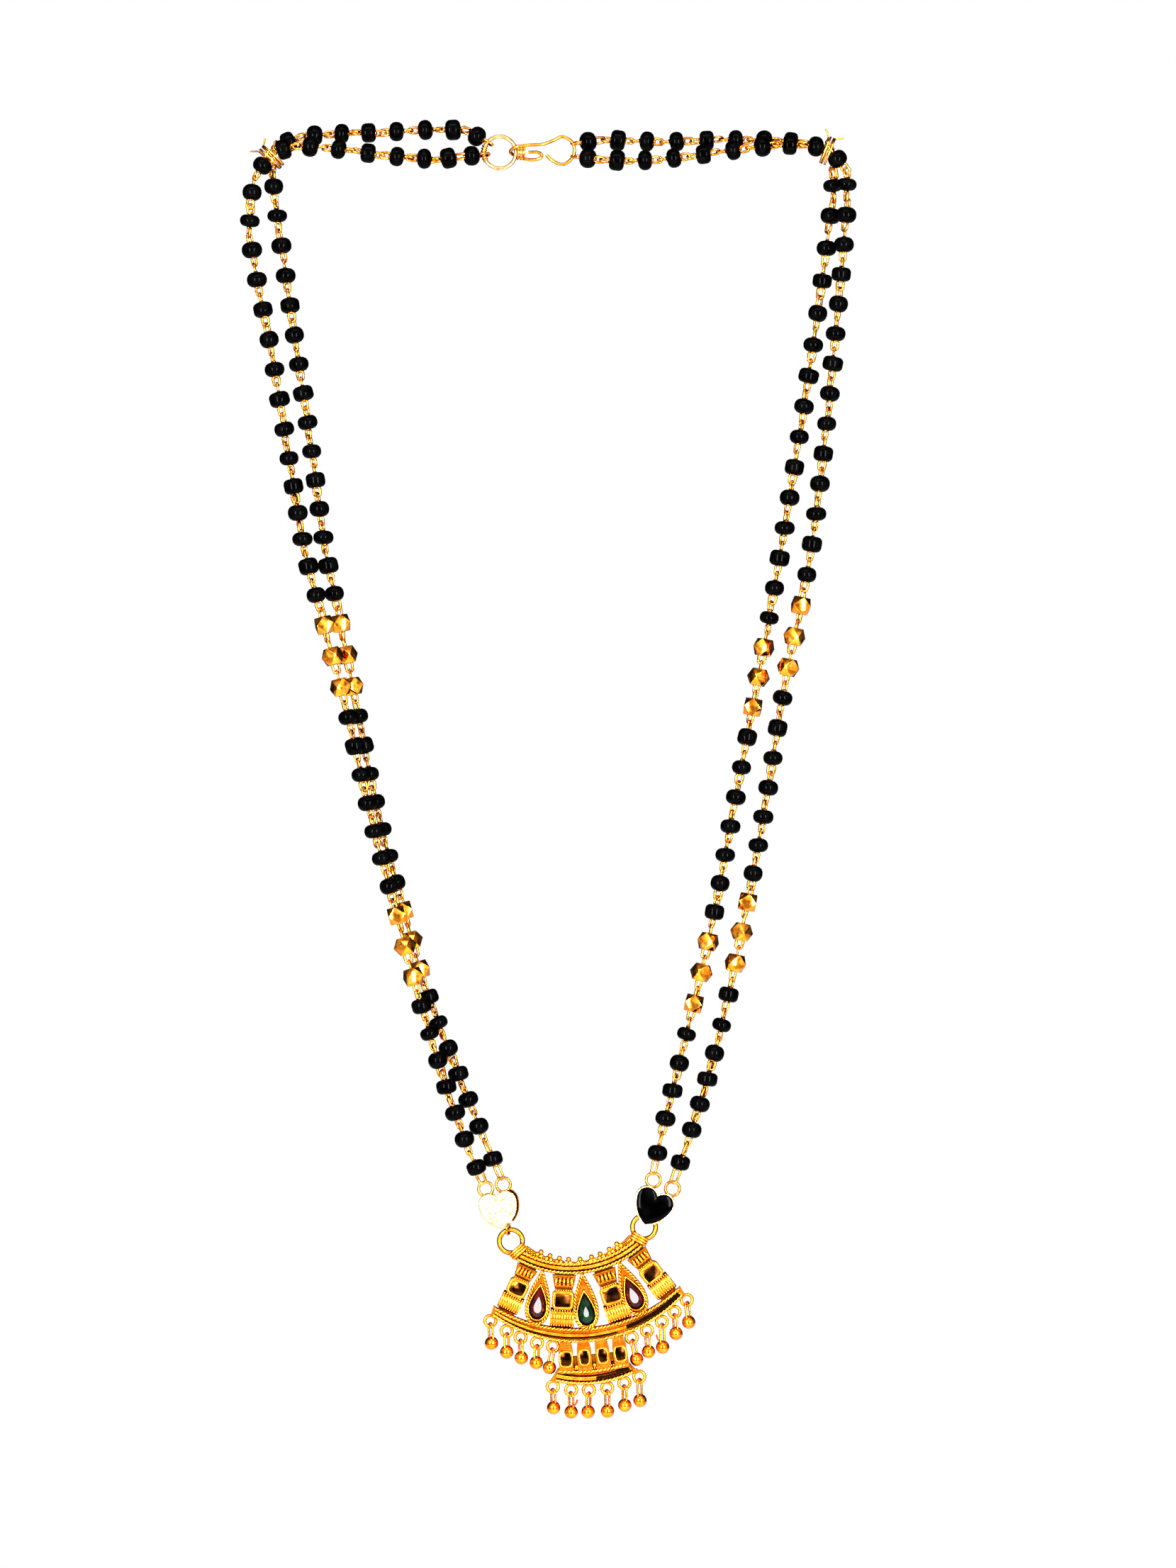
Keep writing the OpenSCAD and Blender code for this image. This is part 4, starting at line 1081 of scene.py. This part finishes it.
# Rows: mid x, centre z, radius, first and last angle, wire and reach.
ROPES = [
    (0, 12.3, 17.52, -34, 34, 0.34, 0.18), (0, 12.3, 19.0, -35, 35, 0.34, 0.18),
    (0.5, 10.65, 27.48, -36.3, 36.3, 0.34, 0.18), (0.5, 6.4, 25.27, -41.3, 41.3, 0.3, 0.15),
    (0.3, 6.6, 30.85, -11.4, 11.4, 0.32, 0.17), (0.3, -5.8, 20.5, -19.3, 19.3, 0.3, 0.15)]
ropes = [twisted("rope", arc_line(*row[:5], ROPE_Y), *row[5:]) for row in ROPES]
# Smooth thin wires fill the top band's right part, above its rope. Rows: radius, angles.
FILL_WIRES = [(17.12, 6, 33), (16.8, 14, 33), (16.48, 20, 32)]
for row in FILL_WIRES:
    ropes.append(bent_wire("fill", arc_line(0, 12.3, *row, FILL_Y), FILL_WIRE, 6))
ride_fan(fuse(ropes, "band_ropes"), rope_gold)
# Rows: mid x, centre z, radius, first and last angle, width and depth of the line's middle.
CHANNELS = [
    (0.5, 8.5, 26.4, 14, 38, 0.74, -0.72), (0.3, -5.8, 19.7, 1, 18.8, 0.66, -0.8),
    (0, 12.3, 18.73, -31, 34, 0.14, -0.86), (0, 12.3, 17.86, 2, 33, 0.12, -0.82),
    (0.5, 8.5, 26.8, -37, 10, 0.2, -0.66), (0.3, -5.8, 20.16, -18, 19, 0.2, -0.7),
    (0.3, -5.8, 19.2, -18, 19, 0.2, -0.64)]
channels = [bent_wire("channel", arc_line(*row[:5], row[6]), row[5], 6) for row in CHANNELS]
# Each end ring has a fine painted shade line near its outer and its inner edge.
END_X, END_Z, END_R, LINE_OFF = 11.8, -0.05, 2.05, 0.29
for side in (-1, 1):
    for radius in (END_R - LINE_OFF, END_R + LINE_OFF):
        ring = arc_line(side * END_X, END_Z, radius, 0, 350, -0.3)
        channels.append(bent_wire("line", ring, 0.14, 6, closed=True))
# The channels and lines are near black wires: painted shade.
ride_fan(fuse(channels, "dark_channels"), shade_groove_gold)
print("ropes:", len(ROPES), "channels:", len(CHANNELS))

# %% [markdown]
# ### Settings and stones
# Each pear stone lies in a smooth bezel, with a rope round the setting's rim and a near
# black wire between, a painted shadow in the gap. The stones have a step cut: a girdle, a
# row of facets and a flat table. They are set a little crooked, so their tables catch a
# soft box, and the green one's table is the smallest.

# %% Setting values and pear helpers
STONE_W, STONE_LEN, STONE_T = 2.9, 5.9, 1.9
STONE_BACK = -0.41
STONE_MID = (0, -0.62 * STONE_LEN)
# The cut up to its table, as shares of the outline and of the stone's thickness.
CUT = [(0.5, 0), (1, -0.3), (1, -0.42), (0.84, -0.74)]
# Wires round a stone: rise over its tip, length and width over its own, depth, wire, sides.
BEZEL = (0.2, 0.4, 0.4, -1.42, 0.3, 8)
GAP = (0.45, 0.95, 0.85, -1.3, 0.2, 6)
RIM_Y, RIM_WIRE, RIM_REACH, RIM_LAY = -1.36, 0.33, 0.18, 1.2
PEAR_POINTS, GEM_POINTS = 36, 16
# Rows: name, tip x and z, lean, length and width, drop of the stone's tip, the table's
# share, tilt and nod.
SETTINGS = [
    ("green", 0.1, -6.7, 0, 10.15, 4.5, 3.4, 0.32, 13, 5),
    ("red_left", -6.75, -5.5, -13.5, 9.9, 4.4, 2.8, 0.5, 13, 0),
    ("red_right", 6.75, -5.5, 17.5, 10.2, 4.4, 3.0, 0.5, -13, 0)]


def teardrop(length, width, count):
    """A pear's outline with its tip at the origin, as x and z."""
    points = []
    for i in range(count):
        t = 2 * math.pi * i / count
        side = math.sin(t) * abs(math.sin(t / 2)) ** 1.2 / 0.746
        points.append((width / 2 * side, -length / 2 * (1 - math.cos(t))))
    return points


def stone_wire(place, rise, longer, wider, front, wire_d, sides):
    """A wire bent to a pear round a stone whose tip is at the place."""
    pear = teardrop(STONE_LEN + longer, STONE_W + wider, PEAR_POINTS)
    line = [spot(place, x, front, z + rise) for x, z in pear]
    return bent_wire("pear", line, wire_d, sides, closed=True)


# %% Set the stones
rims, bezels, gaps = [], [], []
for name, x, z, lean, length, width, drop, table, tilt, nod in SETTINGS:
    place = on_fan(x, z, lean)
    pear = teardrop(length - 0.6, width - 0.5, PEAR_POINTS)
    rim = [spot(place, px, RIM_Y, pz - 0.3) for px, pz in pear]
    rims.append(twisted("rim", rim + rim[:1], RIM_WIRE, RIM_REACH, RIM_LAY))
    seat = place @ shift(0, 0, -drop)
    bezels.append(stone_wire(seat, *BEZEL))
    gaps.append(stone_wire(seat, *GAP))
    rows = [(share, STONE_T * depth) for share, depth in CUT + [(table, -1)]]
    gem = stepped(
        "cut_" + name, teardrop(STONE_LEN, STONE_W, GEM_POINTS), STONE_MID, rows,
        seat @ shift(0, STONE_BACK, 0), 8, ((tilt, "Z"), (nod, "X")))
    colour = name.split("_")[0]
    glass = {"green": green_glass, "red": garnet_glass}[colour]
    declare(paint(gem, glass), "pendant", colour + "_stone", "stone_" + name)
ride_fan(fuse(rims, "setting_ropes"), rope_gold)
ride_fan(fuse(bezels, "bezels"), ball_gold)
# The gaps are near black wires: a painted shadow between bezel and rope.
ride_fan(fuse(gaps, "setting_gaps"), shade_groove_gold)
print("stones:", len(SETTINGS))

# %% [markdown]
# ### Columns and cells
# A column is a fluted capital, a box with a mirror in a rolled frame, and a ribbed
# barrel. The cells below have windows in rolled frames. A frame is a wire bent to a
# rounded rectangle, and a mirror is a low block with bevelled edges that stands askew.
# Mirrors and windows are painted dark brown, a painted reflection of the dark room.

# %% Column values and helpers
# Rows: x, z, lean, share of the full size, and the mirror's tilts.
COLUMNS = [
    (-9.2, -4.6, -31.5, 0.92, 6, -9), (-3, -6.6, -9, 1, -5, 7), (3.9, -6.6, 12.5, 1, 7, -5),
    (9.8, -4.2, 32, 0.97, -6, 8)]
CAP_LEN, BOX_LEN, BOX_W, DRUM_LEN, DRUM_W = 3.1, 3.2, 3.9, 3.1, 4.2
# Rows: x, lean and window's width.
CELLS = [(-4.1, -4, 1.7), (-1, -1, 1.3), (2.1, 1.5, 1.3), (5.15, 3, 1.5)]
CELL_TOP, WINDOW_DROP, WINDOW_H = -18.6, 3.08, 2.1
# Frames of the boxes and windows: depth, corner's power and wire.
BOX_FRAME, CELL_FRAME = (-1.16, 0.42, 0.54), (-0.98, 0.65, 0.38)
BOX_MIRROR_Y, CELL_MIRROR_Y = -1.08, -0.92
FRAME_POINTS = 28


def rolled_frame(place, half_w, half_h, front, corner, wire_d):
    """A wire bent to a rounded rectangle about a place."""
    line = []
    for k in range(FRAME_POINTS):
        a = 2 * math.pi * k / FRAME_POINTS
        x = math.copysign(abs(math.cos(a)) ** corner, math.cos(a))
        z = math.copysign(abs(math.sin(a)) ** corner, math.sin(a))
        line.append(spot(place, half_w * x, front, half_h * z))
    return bent_wire("frame", line, wire_d, 8, closed=True)


def mirror(place, wide, high, front, tilt_x, tilt_z):
    """A low block with bevelled edges, tilted."""
    clear_bench()
    bpy.ops.mesh.primitive_cube_add(size=MM, scale=(wide, 0.3, high))
    block = settle(bpy.context.object, "mirror")
    bpy.ops.object.mode_set(mode="EDIT")
    bpy.ops.mesh.select_all(action="SELECT")
    bpy.ops.mesh.bevel(offset=0.13 * MM, segments=2, affect="EDGES")
    leave()
    block.data.transform(place @ shift(0, front, 0) @ turning(tilt_z, "Z") @ turning(tilt_x, "X"))
    return smooth(block, 25)


def on_barrel(size, across, margin, proud, angle):
    """A place on a column's barrel, from its top: across from -1 to 1, and an angle round it."""
    radius = (DRUM_LEN * size + 0.2) / 2 + proud
    middle_z = 0.05 - size * (CAP_LEN + BOX_LEN + DRUM_LEN / 2)
    a = math.radians(angle)
    x = across * (size * DRUM_W / 2 - margin)
    return (x, -radius * math.cos(a), middle_z + radius * math.sin(a))


# %% Frames, mirrors and ribs
frames, mirrors, ribs = [], [], []
for x, z, lean, size, tilt_x, tilt_z in COLUMNS:
    top = on_fan(x, z, lean)
    box = top @ shift(0, 0, -size * (CAP_LEN + BOX_LEN / 2))
    half_w, half_h = size * BOX_W / 2 - 0.28, size * BOX_LEN / 2 - 0.2
    frames.append(rolled_frame(box, half_w, half_h, *BOX_FRAME))
    inner_w, inner_h = 2 * half_w - 0.4, 2 * half_h - 0.4
    mirrors.append(mirror(box, inner_w, inner_h, BOX_MIRROR_Y, tilt_x, tilt_z))
    for k in range(-4, 5):
        arc = [spot(top, *on_barrel(size, k / 4, 0.22, 0.02, b)) for b in range(-75, 76, 15)]
        ribs.append(bent_wire("rib", arc, 0.26, 6))
for x, lean, window in CELLS:
    cell = on_fan(x, CELL_TOP, lean) @ shift(0, 0, -WINDOW_DROP)
    frames.append(rolled_frame(cell, window / 2 + 0.25, WINDOW_H / 2 + 0.3, *CELL_FRAME))
    aside = math.copysign(6, x)
    mirrors.append(mirror(cell, window + 0.2, WINDOW_H + 0.3, CELL_MIRROR_Y, 5, aside))
print("frames:", len(frames), "ribs:", len(ribs))

# %% [markdown]
# At each end of the top band three rolled wires cover the joint with the end ring. Each
# runs from a point on the band to one on the ring, and they lie side by side.

# %% Rolled collars
ROLL_FROM, ROLL_TO, ROLL_ASIDE = (9.5, -1.0), (11.97, -2.7), (1.7, 2.47)
ROLL_PITCH, ROLL_WIRE, ROLL_STEPS = 0.46, 0.52, 8
for side in (-1, 1):
    inner, outer, aside = (
        Vector((side * x, 0, z)) for x, z in (ROLL_FROM, ROLL_TO, ROLL_ASIDE))
    aside.normalize()
    for k in (-1, 0, 1):
        roll = []
        for i in range(ROLL_STEPS + 1):
            u = i / ROLL_STEPS
            bulge = Vector((0, -0.55 - 0.5 * math.sin(math.pi * u) ** 0.5, 0))
            roll.append(spot(FAN, *(inner.lerp(outer, u) + ROLL_PITCH * k * aside + bulge)))
        frames.append(bent_wire("roll", roll, ROLL_WIRE, 8))
ride_fan(fuse(frames, "rolled_frames"), rope_gold)
# The mirrors carry a painted dark reflection.
ride_fan(fuse(mirrors, "dark_mirrors"), dark_reflection_gold)
ride_fan(fuse(ribs, "barrel_ribs"), ball_gold)
print("wires in the frames and collars:", len(frames))

# %% [markdown]
# ### Petals and grains
# Grains are tiny balls of melted gold, soldered in rows. Petals are grains drawn long.

# %% Petals and grains of the columns
clear_bench()
bpy.ops.mesh.primitive_ico_sphere_add(subdivisions=2, radius=MM)
grain = smooth(settle(bpy.context.object, "grain_master"))
places = []
COLUMN_GRAIN = Matrix.Scale(0.17, 4)
PETAL = Matrix.Diagonal((0.31, 0.34, 0.92, 1))
PETAL_PITCH, PETAL_Y, PETAL_DROP = 0.7, -0.95, 1.55
GRAIN_PITCH, GRAIN_Y, GRAIN_DROP = 0.42, -1.12, 2.95
for x, z, lean, size, tilt_x, tilt_z in COLUMNS:
    top = on_fan(x, z, lean)
    for k in range(-2, 3):
        on_cap = shift(PETAL_PITCH * size * k, PETAL_Y, -PETAL_DROP * size)
        places.append(top @ on_cap @ turning(-5 * k, "Y") @ PETAL)
    for k in range(-3, 4):
        under_cap = shift(GRAIN_PITCH * size * k, GRAIN_Y, -GRAIN_DROP * size)
        places.append(top @ under_cap @ COLUMN_GRAIN)
    for k in range(-4, 5):
        for b in (-48, 48):
            places.append(top @ shift(*on_barrel(size, k / 4, 0.25, 0.1, b)) @ COLUMN_GRAIN)
print("petals and grains of the columns:", len(places))

# %% Grains of the bands
# Rows of grains: mid x, centre z, radius, first and last angle, step, grain's radius and depth.
GRAIN_ROWS = [
    (0.3, 11.3, 35.0, -9.5, 9.5, 0.62, 0.18, -0.72), (0, 12.3, 17.1, -9, 5, 1.3, 0.16, -0.66)]
for mid_x, centre_z, radius, start, end, step, size, front in GRAIN_ROWS:
    for k in range(int((end - start) / step) + 1):
        a = math.radians(start + step * k)
        x, z = mid_x + radius * math.sin(a), centre_z - radius * math.cos(a)
        places.append(on_fan(x, z, 0, front) @ Matrix.Scale(size, 4))
# On the band's left part grains are strewn between the crown's arc and the rope's.
CROWN_Z, CROWN_R, ROPE_Z, ROPE_R = 7.9, 12.8, 12.3, 17.5
STREWN_X, STREWN_STEP, STREWN_LINES, ROW_STEP, STREWN_Y = -9.2, 0.42, 14, 0.36, -0.64
for i in range(STREWN_LINES):
    x = STREWN_X + STREWN_STEP * i
    low_z = ROPE_Z - math.sqrt(ROPE_R**2 - x**2) + ROW_STEP
    high_z = CROWN_Z - math.sqrt(CROWN_R**2 - x**2) - 0.12
    for k in range(max(0, int((high_z - low_z) / ROW_STEP)) + 1):
        z = low_z + ROW_STEP * (k + 0.5 * (i % 2))
        if z <= high_z:
            size = 0.16 + 0.03 * math.sin(5 * i + 3 * k)
            places.append(on_fan(x, z, 0, STREWN_Y) @ Matrix.Scale(size, 4))
ride_fan(copies(grain, places, "grains_and_petals"), ball_gold)
shelve(grain)
print("petals and grains in all:", len(places))

# %% [markdown]
# ### Open tails
# On two drops the loop's wire isn't closed: its cut end stands off above the ball.

# %% Open tails
CUT_WIRE = 0.34
BALL_TOP = 2.0
BEND = [(0, 0, 0), (0.35, -0.1, 0.2), (0.75, -0.15, 0.5), (1.0, -0.1, 0.95), (1.1, 0, 1.4)]
tails = []
for name, aside in (("drop_8", -1), ("drop_12", 1)):
    low, high = (Vector(corner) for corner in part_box(name))
    foot = Matrix.Translation(((low.x + high.x) / 2, (low.y + high.y) / 2, low.z + BALL_TOP * MM))
    bend = [spot(foot, aside * x, y, z) for x, y, z in BEND]
    tails.append(bent_wire("tail", bend, CUT_WIRE, 6))
ride_fan(fuse(tails, "drop_tails"), ball_gold)
print("open tails:", len(tails))

# %% [markdown]
# ## Carried over pieces
# The rest of the frame's pieces already have their real shape, so they only get a finish.

# %% Paint the carried over pieces
paint(nodes["pendant_frame"], cast_gold)
paint(nodes["clasp_ring"], ring_gold)
for k in range(1, 17):
    paint(nodes["drop_%d" % k], ball_gold)
print("nodes that stay in sight:", sum(not node.hide_render for node in nodes.values()))
